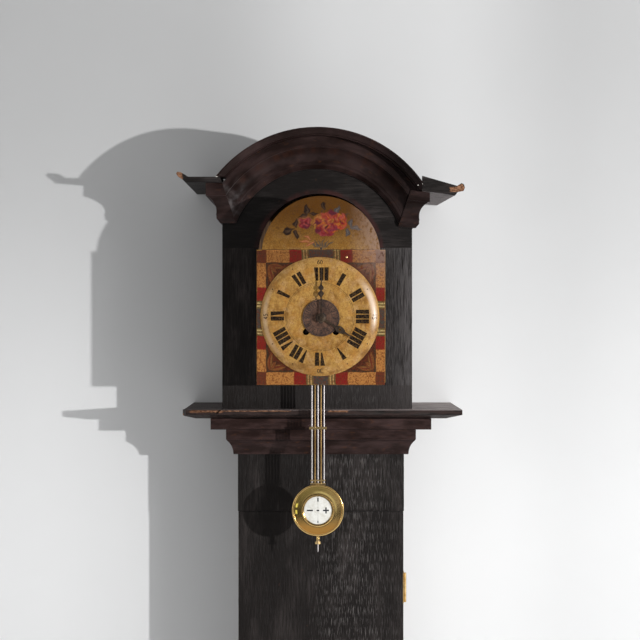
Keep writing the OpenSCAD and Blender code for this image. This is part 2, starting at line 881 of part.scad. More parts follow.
module shield_outline() {
    half = shield[0] / 2;
    foot = dial_z - shield_below;
    c = shield_corner;
    translate([-half, foot + c]) square([shield[0], shield[1] - c]);
    translate([-half + c, foot]) square([shield[0] - 2 * c, 2 * c]);
    for (s = [-1, 1]) translate([s * (half - c), foot + c]) circle(c);
    translate([0, foot + shield[1] - lunette_drop]) circle(lunette_r);
}

// The painted board with its raised round dial, whose edge is rounded off, the hole for
// the hands and two winding holes
module dial_shield() {
    rim = 1;
    run = lunette_r - flat_r;
    drop = dial_h - rim;
    edge_r = (run * run + drop * drop) / (2 * drop);
    color(cream) difference() {
        union() {
            outline(shield_back, shield_t) shield_outline();
            at([raised_x, raised_up]) turned(shield_face - 1) {
                square([flat_r, dial_h + 1]);
                intersection() {
                    translate([flat_r, dial_h + 1 - edge_r]) circle(edge_r, $fn = 360);
                    translate([flat_r - 0.5, 0]) square([run + 0.5, dial_h + 1]);
                }
            }
        }
        at([0, 0]) bar(shield_back - 1, pipe_hole_r, shield_t + dial_h + 2);
        for (s = [-1, 1]) at([s * winding_at[0], -winding_at[1]])
            bar(shield_back - 1, winding_hole_r, shield_t + dial_h + 2);
    }
}

pipe_hole_r = 8;
cannon_r = 2.6;
hour_pipe_r = 3.8;
alarm_pipe_r = 5.4;

// Movement: where the arbors stand, across and above the dial's centre

// Tooth forms: share of the pitch, reach over and under the pitch circle in modules,
// and the width at tip and root as a share of the first
wheel_form = [0.44, 0.9, 1.4, 0.35, 1.05];
pinion_form = [0.36, 0.6, 1.35, 0.55, 0.8];

going_at = [winding_at[0], -winding_at[1]];
alarm_at = [-winding_at[0], -winding_at[1]];
centre_at = [0, 0];
anchor_at = [pendulum_x, suspension_up];
escape_at = anchor_at - [0, escape_r * 1.4667];

// Distance between a wheel's arbor and the arbor of the pinion in mesh with it
function span(teeth, m) = m * (teeth + leaves) / 2 + depthing;

// The point at two given distances from a and b, left or right of the way from a to b
function meeting(a, b, ra, rb, side) =
    let (d = norm(b - a), u = (b - a) / d,
        along = (ra * ra - rb * rb + d * d) / (2 * d))
    a + along * u + side * sqrt(ra * ra - along * along) * [-u[1], u[0]];

function toward(a, b) = atan2(b[1] - a[1], b[0] - a[0]);

inter_at = meeting(centre_at, going_at, span(inter_teeth, inter_m), span(great_teeth, great_m), 1);
third_at = meeting(centre_at, escape_at, span(centre_teeth, centre_m), span(third_teeth, third_m), 1);
alarm_wheel_at = alarm_at + span(great_teeth, great_m) * [cos(124), sin(124)];
hammer_at = alarm_wheel_at + (alarm_wheel_r + 6.9) * [cos(124), sin(124)];
minute_wheel_at = motion_span * [cos(40), sin(40)];
bell_at = hammer_at + [17.2, 22];

// The outline of one wheel or pinion, its first tooth at the angle turn
function teeth_points(teeth, m, form, turn) =
    let (pitch_r = m * teeth / 2, half = form[0] * 180 / teeth,
        foot_r = pitch_r - form[2] * m, tip_r = pitch_r + form[1] * m,
        tooth = [[foot_r, -form[4]], [tip_r, -form[3]], [tip_r, form[3]], [foot_r, form[4]]])
    [for (i = [0 : teeth - 1], p = tooth)
        let (a = turn + i * 360 / teeth + p[1] * half) p[0] * [cos(a), sin(a)]];

// A wheel with its rim, arms and hub
module wheel(teeth, m, turn, arms, hub) {
    rim = m * teeth / 2 - 1.4 * m - 1.6;
    difference() {
        polygon(teeth_points(teeth, m, wheel_form, turn));
        difference() {
            circle(rim);
            circle(hub);
            for (k = [1 : arms]) rotate(k * 360 / arms) translate([0, -0.9]) square([rim + 1, 1.8]);
        }
    }
}

module pinion(m, turn) {
    polygon(teeth_points(leaves, m, pinion_form, turn));
}

// A wheel with hooked teeth, for an escapement or a ratchet
module hooked(teeth, r, depth_of, lean) {
    polygon([for (i = [0 : teeth - 1], p = [[r - depth_of, 0], [r, lean], [r - depth_of, 0.75]])
        let (a = (i + p[1]) * 360 / teeth) p[0] * [cos(a), sin(a)]]);
}

module arbor(r) {
    bar(back_plate_v - 0.3, r, plate_gap + 2 * plate_t + 0.6);
}

// Plates

cock_rise = 9;
slit_w = 1.7;
crutch_hub_r = 3;
crutch_t = 1.6;
crutch_v = back_plate_v - crutch_t - 0.8;
arbor_holes = [inter_at, third_at, escape_at, anchor_at, alarm_wheel_at, hammer_at];
pillar_at = [for (x = [-1, 1], z = [-52, plate_up - 8]) [x * (plate_half_w - 6), z]];
pillar_r = 3.5;
barrel_arbor_r = 3;
minute_stud_r = 1.5;
detent_at = [-24, 11];
click_out = 13.5;
stud_r = 1.2;

module plate_outline() {
    leg_w = 14;
    foot = -dial_above_board;
    difference() {
        union() {
            translate([-plate_half_w, foot]) square([2 * plate_half_w, plate_up - foot - 8]);
            translate([-plate_half_w + 8, foot]) square([2 * plate_half_w - 16, plate_up - foot]);
            for (s = [-1, 1]) translate([s * (plate_half_w - 8), plate_up - 8]) circle(8);
        }
        translate([-plate_half_w + leg_w, foot - 1]) square([2 * (plate_half_w - leg_w), 19]);
        for (p = arbor_holes) translate(p) circle(arbor_r + fit);
        for (p = [going_at, alarm_at]) translate(p) circle(barrel_arbor_r + fit);
        circle(centre_arbor_r + fit);
        for (p = pillar_at) translate(p) circle(pillar_r - 1.3);
    }
}

// The back plate, with the slit cock that the suspension hangs from, clear of the crutch
module back_plate() {
    foot = suspension_up + 1;
    top = suspension_up + cock_rise;
    over_hub = suspension_up + crutch_hub_r + 0.6;
    color(brass) at([0, 0]) {
        outline(back_plate_v, plate_t) plate_outline();
        difference() {
            slab([pendulum_x - 4, pendulum_x + 4], [pendulum_v - 4, crutch_v - 0.3], [foot, top]);
            slab([pendulum_x - slit_w / 2, pendulum_x + slit_w / 2],
                [pendulum_v - 5, crutch_v], [foot - 1, top + 1]);
        }
        slab([pendulum_x - 4, pendulum_x + 4], [crutch_v - 0.4, back_plate_v], [over_hub, top]);
    }
}

// The front plate, with the studs of the minute wheel, the detent and the clicks
module front_plate() {
    color(brass) at([0, 0]) {
        outline(front_plate_v, plate_t) plate_outline();
        translate([minute_wheel_at[0], 0, minute_wheel_at[1]]) bar(motion_v - 0.5, minute_stud_r, 6.8);
        translate([detent_at[0], 0, detent_at[1]]) bar(motion_v - 0.5, stud_r, 8);
        for (s = [-1, 1]) translate([s * winding_at[0], 0, click_out - winding_at[1]])
            bar(motion_v - 0.5, stud_r, 3.2);
    }
}

// Four pillars, shouldered between the plates
module plate_pillars() {
    color(brass) for (p = pillar_at) at(p) {
        bar(frame_v, pillar_r, plate_gap);
        bar(back_plate_v - 1, pillar_r - 1.3, plate_gap + 2 * plate_t + 2);
    }
}

// Going train, from the barrel to the escape wheel

drum_v = frame_v + 6;
drum_t = 12.5;
great_v = frame_v + 4.2;
great_t = 1.8;
inter_v = frame_v + 20;
centre_v = frame_v + 1.2;
third_v = frame_v + 9.8;
escape_v = frame_v + 16;
wheel_t = 1.3;

module barrel(turn) {
    color(brass) difference() {
        union() {
            outline(great_v, great_t) polygon(teeth_points(great_teeth, great_m, wheel_form, turn));
            bar(drum_v, barrel_r, drum_t);
            bar(great_v - 1.4, 7, drum_t + 5);
        }
        bar(great_v - 3, barrel_arbor_r + fit, drum_t + 12);
    }
}

module going_barrel() {
    at(going_at) barrel(toward(going_at, inter_at));
}

module alarm_barrel() {
    at(alarm_at) barrel(toward(alarm_at, alarm_wheel_at));
}

// A winding arbor with its ratchet wheel and squared end
module winding_arbor() {
    key = 4.2;
    color(steel) {
        bar(back_plate_v - 1, barrel_arbor_r, shield_back - back_plate_v + 1);
        slab([-key / 2, key / 2], [shield_back - 1, shield_face + 3], [-key / 2, key / 2]);
        outline(motion_v + 0.6, 1.4) hooked(24, 9, 1.4, 0.1);
    }
}

module going_arbor() {
    at(going_at) winding_arbor();
}

module alarm_arbor() {
    at(alarm_at) mirror([1, 0, 0]) winding_arbor();
}

// A click that drops into the ratchet from its stud above it
module click() {
    color(steel) difference() {
        outline(motion_v + 0.7, 1.2) difference() {
            union() {
                translate([0, click_out]) circle(2.6);
                polygon([[-2.4, click_out + 1], [-8.4, 6.6], [-7.4, 6.2], [1.2, click_out - 2.3]]);
            }
            translate([0, click_out]) circle(stud_r + fit);
        }
    }
}

module going_click() {
    at(going_at) click();
}

module alarm_click() {
    at(alarm_at) mirror([1, 0, 0]) click();
}

module intermediate_wheel() {
    color(brass) at(inter_at) {
        arbor(arbor_r);
        outline(great_v - 1.2, great_t + 2.4) pinion(great_m, toward(inter_at, going_at) + 180 / leaves);
        outline(inter_v, wheel_t) wheel(inter_teeth, inter_m, toward(inter_at, centre_at), 4, 4);
    }
}

module centre_wheel() {
    color(brass) at(centre_at) {
        bar(back_plate_v - 0.3, centre_arbor_r, minute_hand_v + hand_t + 3 - back_plate_v);
        outline(inter_v - 1, wheel_t + 2) pinion(inter_m, toward(centre_at, inter_at) + 180 / leaves);
        outline(centre_v, wheel_t) wheel(centre_teeth, centre_m, toward(centre_at, third_at), 4, 4);
    }
}

module third_wheel() {
    color(brass) at(third_at) {
        arbor(arbor_r);
        outline(centre_v - 0.6, wheel_t + 1.6) pinion(centre_m, toward(third_at, centre_at) + 180 / leaves);
        outline(third_v, wheel_t) wheel(third_teeth, third_m, toward(third_at, escape_at), 4, 3.5);
    }
}

module escape_wheel() {
    color(brass) at(escape_at) {
        arbor(arbor_r);
        outline(third_v - 1, wheel_t + 2) pinion(third_m, toward(escape_at, third_at) + 180 / leaves);
        outline(escape_v, wheel_t) difference() {
            hooked(escape_teeth, escape_r, 2, 0.15);
            difference() {
                circle(escape_r - 3.6);
                circle(3.4);
                for (k = [1 : 4]) rotate(k * 90) translate([0, -0.8]) square([escape_r - 2, 1.6]);
            }
        }
    }
}

// The anchor between the plates, and its crutch that hangs behind the back plate
module anchor() {
    crutch_len = 38;
    fork = rod_r + 0.4;
    color(steel) at(anchor_at) {
        bar(crutch_v, arbor_r, motion_v - crutch_v + 0.3);
        outline(escape_v - 0.8, wheel_t + 1.6)
            polygon([[0, 4.5], [8, 0.5], [14.8, -6.5], [13.9, -12.2], [12.0, -11.2], [9.6, -7.8],
                [5, -3.6], [0, -3], [-5, -3.6], [-9.6, -7.8], [-12.0, -11.2], [-13.9, -12.2],
                [-14.8, -6.5], [-8, 0.5]]);
        outline(crutch_v, crutch_t) {
            circle(crutch_hub_r);
            translate([-1.2, -crutch_len]) square([2.4, crutch_len]);
            translate([-fork - 1.6, -crutch_len - 3]) square([2 * fork + 3.2, 3.5]);
        }
        for (s = [-1, 1]) slab([s * (fork + 0.8) - 0.8, s * (fork + 0.8) + 0.8],
            [pendulum_v - 3, crutch_v + 1], [-crutch_len - 3, -crutch_len + 0.5]);
    }
}

// Motion work, between the front plate and the shield

cannon_t = 1.8;
minute_v = motion_v + 1.3;
hour_v = motion_v + 3.6;
minute_m = 2 * (motion_span - depthing) / (motion_teeth[0] + motion_teeth[1]);
hour_m = 2 * (motion_span - depthing) / (motion_teeth[2] + motion_teeth[3]);

module cannon_pinion() {
    color(brass) at(centre_at) difference() {
        union() {
            outline(motion_v + 1, cannon_t)
                polygon(teeth_points(motion_teeth[0], minute_m, pinion_form,
                    toward(centre_at, minute_wheel_at) + 180 / motion_teeth[0]));
            bar(motion_v + 1, cannon_r, minute_hand_v + hand_t + 0.2 - motion_v - 1);
        }
        bar(motion_v, centre_arbor_r, minute_hand_v - motion_v + 4);
    }
}

module minute_wheel() {
    color(brass) at(minute_wheel_at) difference() {
        union() {
            outline(minute_v, 1.2)
                polygon(teeth_points(motion_teeth[1], minute_m, wheel_form,
                    toward(minute_wheel_at, centre_at)));
            outline(minute_v + 1.2, 3.4)
                polygon(teeth_points(motion_teeth[2], hour_m, pinion_form,
                    toward(minute_wheel_at, centre_at) + 180 / motion_teeth[2]));
        }
        bar(motion_v, minute_stud_r + fit, 10);
    }
}

module hour_wheel() {
    color(brass) at(centre_at) difference() {
        union() {
            outline(hour_v, wheel_t)
                polygon(teeth_points(motion_teeth[3], hour_m, wheel_form,
                    toward(centre_at, minute_wheel_at)));
            bar(hour_v, hour_pipe_r, hour_hand_v + hand_t + 0.2 - hour_v);
        }
        bar(hour_v - 1, cannon_r + fit, hour_hand_v - hour_v + 4);
    }
}

// Hands and alarm disc

// A slender hand with two small crosses on it
module minute_hand() {
    cross_w = 9;
    color(copper) at(centre_at) rotate([0, minute_at, 0]) outline(minute_hand_v, hand_t) difference() {
        union() {
            circle(6.2);
            polygon([[-1.6, 0], [1.6, 0], [1.2, 46], [0.7, minute_len], [-0.7, minute_len],
                [-1.2, 46]]);
            for (r = [45.6, 56]) translate([0, r]) {
                rotate(45) square(4.4, center = true);
                square([cross_w, 1.6], center = true);
            }
        }
        circle(cannon_r);
    }
}

module hour_hand() {
    leaf_from = 32;
    leaf_to = 54;
    color(copper) at(centre_at) rotate([0, hour_at, 0]) outline(hour_hand_v, hand_t) difference() {
        union() {
            circle(7.4);
            polygon([[-2.6, 0], [2.6, 0], [1.6, leaf_from], [-1.6, leaf_from]]);
            intersection() {
                translate([9, (leaf_from + leaf_to) / 2]) circle(15.5);
                translate([-9, (leaf_from + leaf_to) / 2]) circle(15.5);
            }
            polygon([[-2.4, leaf_to - 4], [2.4, leaf_to - 4], [0.8, hour_len], [-0.8, hour_len]]);
        }
        circle(hour_pipe_r);
        translate([0, (leaf_from + leaf_to) / 2]) circle(2.4);
    }
}

// The dished collet and the nut that hold the minute hand
module hand_nut() {
    color(copper) at(centre_at) turned(minute_hand_v + hand_t + 0.3) difference() {
        polygon([[0, 0], [8.6, 0], [9, 0.6], [5.6, 1.4], [3.4, 1.6], [3.2, nut_t], [0, nut_t]]);
        square([centre_arbor_r, 3]);
    }
}

// The alarm disc, on a pipe whose notched cam works the detent behind the shield
module alarm_disc() {
    cam_v = motion_v + 6;
    cam_r = pipe_hole_r - 0.6;
    color(copper) at(centre_at) difference() {
        union() {
            bar(alarm_disc_v, alarm_r, hand_t);
            turned(alarm_disc_v + hand_t) translate([alarm_r - 1.2, 0]) circle(0.6);
            bar(cam_v, alarm_pipe_r, alarm_disc_v + hand_t - cam_v);
            outline(cam_v, 1.6) difference() {
                circle(cam_r);
                polygon([[-1, alarm_pipe_r], [-2.4, cam_r + 1], [1.6, cam_r + 1]]);
            }
        }
        bar(cam_v - 1, hour_pipe_r + fit, alarm_disc_v + hand_t - cam_v + 2);
    }
}

// Alarm work

module alarm_wheel() {
    color(brass) at(alarm_wheel_at) {
        arbor(arbor_r);
        outline(great_v - 1.2, great_t + 2.4)
            pinion(great_m, toward(alarm_wheel_at, alarm_at) + 180 / leaves);
        outline(inter_v, wheel_t) difference() {
            hooked(18, alarm_wheel_r, 2.6, 0.3);
            difference() {
                circle(alarm_wheel_r - 4.2);
                circle(3.4);
                for (k = [1 : 3]) rotate(k * 120) translate([0, -0.9]) square([alarm_wheel_r - 3, 1.8]);
            }
        }
    }
}

// The lever that rides on the alarm disc's cam and holds the hammer
module alarm_detent() {
    nose = pipe_hole_r - 0.3;
    lever_end = hammer_at[0] + 7.2;
    color(steel) at([0, 0]) outline(motion_v + 6.3, 1.2) difference() {
        union() {
            translate(detent_at) circle(3);
            translate([lever_end, detent_at[1] - 1.2]) square([-lever_end, 2.4]);
            polygon([[-1.6, detent_at[1]], [-0.4, nose], [0.4, nose], [1.6, detent_at[1] + 1.2],
                [-1.6, detent_at[1] + 1.2]]);
        }
        translate(detent_at) circle(stud_r + fit);
    }
}

// The hammer: its tail at the alarm wheel, its shank behind the plates, its head in the bell
module alarm_hammer() {
    shank_v = back_plate_v - 4.5;
    shank_len = bell_at[1] - hammer_at[1];
    color(steel) at(hammer_at) {
        bar(shank_v, arbor_r, motion_v - shank_v + 7);
        outline(inter_v - 0.6, wheel_t + 1.2) {
            circle(2.8);
            for (k = [-35, 35]) rotate(k - 56) translate([0, -0.8]) square([5.8, 1.6]);
        }
        outline(shank_v, 2) {
            circle(3);
            translate([-1.2, 0]) square([2.4, shank_len]);
        }
        outline(motion_v + 5.4, 1.6)
            polygon([[-1.4, -0.6], [6, -8.2], [9, -8.2], [9, -6.8], [6.6, -6.8], [0.6, 1.4]]);
        translate([0, 0, shank_len]) bar(shank_v - 11, 4, 13);
    }
}

// The bell, mouth forward, on a post from the box's backboard
module bell() {
    deep = 22;
    shell = 1.8;
    mouth_v = back_plate_v - 11;
    ball = (bell_r * bell_r + deep * deep) / (2 * deep);
    color(brass) at(bell_at) {
        turned(mouth_v - deep + ball) difference() {
            circle(ball, $fn = 180);
            circle(ball - shell, $fn = 180);
            translate([-2 * ball, -2 * ball]) square([2 * ball, 4 * ball]);
            translate([-1, deep - ball]) square([2 * ball, 3 * ball]);
        }
        bar(hood_back_face, 2.5, mouth_v - deep + 4 - hood_back_face);
        bar(mouth_v - deep + shell - 0.3, 5, 2.5);
    }
}

// Pendulum

bob_z = -pendulum_len;
bars_at = [pendulum_len - bob_r - 0.9 - 6.1, pendulum_len - bob_r - 0.9];
rod_places = [-2, -1, 0, 1, 2];

module on_pendulum() {
    translate([pendulum_x, 0, suspension_z]) children();
}

module upright(x, r, z0, z1) {
    translate([x, half_depth - pendulum_v, z0]) cylinder(r = r, h = z1 - z0);
}

// The thin strip that bends in the cock's slit, between a head on the cock and a block
module suspension_spring() {
    head = cock_rise + 0.2;
    color(steel) on_pendulum() {
        slab([-0.2, 0.2], [pendulum_v - 3, pendulum_v + 3], [-14, head + 1]);
        slab([-2, 2], [pendulum_v - 3.2, pendulum_v + 3.2], [head, head + 2.5]);
        slab([-3.6, 3.6], [pendulum_v - 3.2, pendulum_v + 3.2], [-20, -12]);
    }
}

// The hanger, five rods of alternating metal and the long middle rod to the nut
module gridiron_rods() {
    color(steel) on_pendulum() {
        upright(0, rod_r, -top_bar_at, -20);
        for (k = rod_places) upright(k * rod_pitch, rod_r, -bars_at[1] - 1.5, -top_bar_at - 0.1);
        upright(0, rod_r, -pendulum_len - bob_r - tail_len + 3, -bars_at[1] - 1.6);
        translate([0, half_depth - pendulum_v, -pendulum_len - bob_r - tail_len])
            cylinder(r1 = 0.6, r2 = rod_r, h = 3);
    }
}

module crossbar(at_len, half_w, h) {
    difference() {
        slab([-half_w, half_w], [pendulum_v - 3, pendulum_v + 3], [-at_len - h / 2, -at_len + h / 2]);
        for (k = rod_places) upright(k * rod_pitch, rod_r, -at_len - h, -at_len + h);
    }
}

module gridiron_bars() {
    color(brass) on_pendulum() {
        crossbar(top_bar_at + 2, 17.5, 5);
        crossbar(mid_bar_at, 17.5, 5);
        for (len = bars_at) crossbar(len, 15.2, 2.8);
    }
}

// The spun bob: a rolled rim, a dished face and a raised ring for the disc
module bob() {
    rod_in = 4;
    rim = 2.5;
    color(brass) on_pendulum() difference() {
        union() {
            translate([0, 0, bob_z]) turned(pendulum_v - rod_in) {
                polygon([[0, 0], [bob_r - 9, 0], [bob_r - 1.5, 6], [bob_r - 1.2, 9.5],
                    [bezel_r + 2, 7.6], [bezel_r, 8], [bezel_r, 11.5], [bezel_r - 1.2, 12.6],
                    [enamel_r + 0.1, 11.4], [enamel_r + 0.1, 9], [0, 9]]);
                translate([bob_r - rim, 9]) circle(rim);
            }
            upright(0, 3.2, -pendulum_len - bob_r - 9, -pendulum_len - bob_r + 3);
        }
        upright(0, rod_r + 0.02, -pendulum_len - bob_r - 10, -pendulum_len + bob_r + 1);
    }
}

module bob_enamel() {
    bulge = 1.6;
    ball = (enamel_r * enamel_r + bulge * bulge) / (2 * bulge);
    color(enamel) on_pendulum() translate([0, 0, bob_z]) turned(pendulum_v - 4 + 9) {
        square([enamel_r, 1.4]);
        intersection() {
            translate([0, 1.4 + bulge - ball]) circle(ball, $fn = 720);
            square([enamel_r, 4]);
        }
    }
}

module rating_nut() {
    z = -pendulum_len - bob_r - 9 - 1 - 5.5;
    color(brass) on_pendulum() difference() {
        union() {
            upright(0, nut_r, z, z + 4);
            upright(0, nut_r - 1.6, z, z + 5.5);
        }
        upright(0, rod_r + fit, z - 1, z + 7);
    }
}

// Drawing

backboard();
trunk_sides();
trunk_rails();
waist_shelf();
waist_steps();
waist_cove();
base_panels();
base_moulding();
plinth();
floor_board();
door_hinge_leaves();
trunk_door();
door_hinge_straps();
door_latch();
hood_sides();
hood_frame();
hood_arch_board();
hood_roof();
arch_moulding();
cornice_left();
cornice_right();
wing_board_left();
wing_board_right();
box_top();
box_bottom();
box_back();
box_door_left();
box_door_right();
dial_shield();
front_plate();
back_plate();
plate_pillars();
bell();
going_barrel();
going_arbor();
going_click();
intermediate_wheel();
centre_wheel();
third_wheel();
escape_wheel();
anchor();
cannon_pinion();
minute_wheel();
hour_wheel();
minute_hand();
hour_hand();
hand_nut();
alarm_disc();
alarm_barrel();
alarm_arbor();
alarm_click();
alarm_wheel();
alarm_detent();
alarm_hammer();
suspension_spring();
gridiron_rods();
gridiron_bars();
bob();
bob_enamel();
rating_nut();
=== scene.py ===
import math

import bmesh
import bpy
import numpy as np
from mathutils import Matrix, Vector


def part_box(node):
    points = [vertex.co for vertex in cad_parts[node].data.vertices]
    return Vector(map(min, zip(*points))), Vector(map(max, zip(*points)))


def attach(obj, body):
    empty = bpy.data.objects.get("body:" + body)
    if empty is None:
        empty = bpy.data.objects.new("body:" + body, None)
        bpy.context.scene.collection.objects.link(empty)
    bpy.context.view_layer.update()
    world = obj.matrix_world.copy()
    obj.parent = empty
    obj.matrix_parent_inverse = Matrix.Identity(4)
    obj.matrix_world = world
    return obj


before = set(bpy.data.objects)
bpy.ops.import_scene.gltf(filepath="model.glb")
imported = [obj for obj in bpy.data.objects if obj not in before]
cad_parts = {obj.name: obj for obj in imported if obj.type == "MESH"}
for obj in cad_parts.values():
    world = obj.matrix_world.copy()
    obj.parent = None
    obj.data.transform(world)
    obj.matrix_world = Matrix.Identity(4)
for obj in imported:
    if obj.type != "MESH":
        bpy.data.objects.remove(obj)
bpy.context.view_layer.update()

# Standpoint:
# The clock is seen straight from the front, from 2.9 m off the wall and a little
# above the dial's centre, with a longish lens, as in the picture.
WALL_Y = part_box("backboard")[1][1]
EYE_DISTANCE = 2.9
EYE_HEIGHT = 1.736
EYE_X = -0.0019
FOCAL_PIXELS = 1327
PICTURE_PIXELS = 640
SENSOR = 36


def stand(name, data, material=None):
    """Puts a mesh, a lamp or a camera into the scene as an object."""
    thing = bpy.data.objects.new(name, data)
    if material:
        data.materials.append(material)
    bpy.context.scene.collection.objects.link(thing)
    return thing


def built(name, points, faces):
    """A mesh from points in mm."""
    mesh = bpy.data.meshes.new(name)
    mesh.from_pydata((np.asarray(points, float) / 1000).tolist(), [], faces)
    return mesh


lens = bpy.data.cameras.new("standpoint")
lens.sensor_width = SENSOR
lens.lens = SENSOR * FOCAL_PIXELS / PICTURE_PIXELS
camera = stand("standpoint", lens)
camera.location = (EYE_X, WALL_Y - EYE_DISTANCE, EYE_HEIGHT)
camera.rotation_euler = (math.pi / 2, 0, 0)
bpy.context.scene.camera = camera
bpy.context.scene.view_settings.view_transform = "Standard"

# Ebonised boards:
# The case's boards are softwood stained black. Their raised grain and greyed patches are
# drawn by noise stretched along each board, and so are pale streaks along the grain: partly
# scratches, partly a painted sheen that is strongest on the side toward the window.


def sum_of(operation, swapped=False):
    """A method that works out a sum of a wire with another number, in nodes."""
    def work(self, other=0):
        return self.finish.number(operation, *((other, self) if swapped else (self, other)))
    return work


class Wire:
    """One number on its way through a material's nodes. The usual operators add the
    node that works out the result."""

    def __init__(self, finish, socket):
        self.finish = finish
        self.socket = socket

    __add__ = __radd__ = sum_of("ADD")
    __sub__ = sum_of("SUBTRACT")
    __rsub__ = sum_of("SUBTRACT", swapped=True)
    __mul__ = __rmul__ = sum_of("MULTIPLY")
    __truediv__ = sum_of("DIVIDE")
    __pow__ = sum_of("POWER")
    __abs__ = sum_of("ABSOLUTE")

    def rises(self, low, high):
        """0 where the number is under low, 1 where it is over high, smooth between."""
        node = self.finish.make(
            "MapRange",
            {0: self, 1: low, 2: high, 3: 0, 4: 1},
            interpolation_type="SMOOTHSTEP",
        )
        return Wire(self.finish, node.outputs[0])

    def within(self, low, high, soft=0.3):
        """1 between low and high, 0 outside them."""
        return self.rises(low - soft, low + soft) * (1 - self.rises(high - soft, high + soft))


class Nodes:
    """One node tree, and one way to make the nodes in it."""

    def __init__(self, tree):
        self.tree = tree

    def make(self, kind, feeds, **settings):
        """Adds a node, sets it up and feeds its inputs, which are named or counted."""
        node = self.tree.nodes.new("ShaderNode" + kind)
        for key, value in settings.items():
            setattr(node, key, value)
        for key, value in feeds.items():
            self.feed(node.inputs[key], value)
        return node

    def feed(self, socket, value):
        if isinstance(value, Wire):
            value = value.socket
        if isinstance(value, bpy.types.NodeSocket):
            self.tree.links.new(value, socket)
        elif isinstance(value, tuple) and socket.type == "RGBA":
            socket.default_value = (*value, 1)
        else:
            socket.default_value = value

    def number(self, operation, a, b):
        node = self.make("Math", {0: a, 1: b}, operation=operation)
        return Wire(self, node.outputs[0])

    def parts(self, output):
        """The three numbers of a texture coordinate."""
        source = self.make("TexCoord", {}).outputs[output]
        return [Wire(self, part) for part in self.make("SeparateXYZ", {0: source}).outputs]

    def point(self, x, y, z):
        return self.make("CombineXYZ", {0: x, 1: y, 2: z}).outputs[0]

    def noise(self, point, detail=3, roughness=0.55):
        node = self.make(
            "TexNoise",
            {"Vector": self.point(*point), "Scale": 1, "Detail": detail, "Roughness": roughness},
        )
        return Wire(self, node.outputs[0])

    def cracks(self, point):
        """The distance to the nearest edge between random cells one unit wide."""
        node = self.make(
            "TexVoronoi",
            {"Vector": self.point(*point), "Scale": 1},
            feature="DISTANCE_TO_EDGE",
        )
        return Wire(self, node.outputs[0])

    def mix(self, a, b, share):
        """The colour a, turned into the colour b by share."""
        return self.make("Mix", {0: share, 6: a, 7: b}, data_type="RGBA").outputs[2]

    def coats(self, colour, *coats):
        """The colour under coats of others, each given with the share of it that covers."""
        for tone, share in coats:
            colour = self.mix(colour, tone, share)
        return colour


class Finish(Nodes):
    """One material. Its inputs are named as the shader's own, with low dashes. Its spot is
    where a point of the piece is, in mm: across, in depth and up."""

    def __init__(self, name, **inputs):
        self.material = bpy.data.materials.new(name)
        self.material.use_nodes = True
        super().__init__(self.material.node_tree)
        self.shader = self.tree.nodes["Principled BSDF"]
        self.spot = tuple(part * 1000 for part in self.parts("Object"))
        for key, value in inputs.items():
            self.sets(key.replace("_", " "), value)

    def sets(self, name, value):
        """Feeds one of the shader's own inputs."""
        self.feed(self.shader.inputs[name], value)

    def paint(self, colour, roughness):
        """Feeds the two inputs that most finishes vary."""
        self.sets("Base Color", colour)
        self.sets("Roughness", roughness)

    def cloud(self, scale, detail=3, roughness=0.55, shift=(0, 0, 0)):
        """Noise over the piece, with one scale or one for each way, moved by shift."""
        scales = scale if isinstance(scale, tuple) else (scale,) * 3
        point = [part * s + far if far else part * s
                 for part, s, far in zip(self.spot, scales, shift)]
        return self.noise(point, detail, roughness)

    def bump(self, height, depth, strength=1):
        """Raises the surface by height times depth, in metres."""
        node = self.make(
            "Bump", {"Height": height, "Distance": depth, "Strength": strength}
        )
        self.sets("Normal", node.outputs[0])


def distance(across, up):
    """The distance from a centre."""
    return (across * across + up * up) ** 0.5


DEGREES = 57.3
BARE = (0.08, 0.031, 0.014)
BARE_PALE = (0.42, 0.215, 0.12)


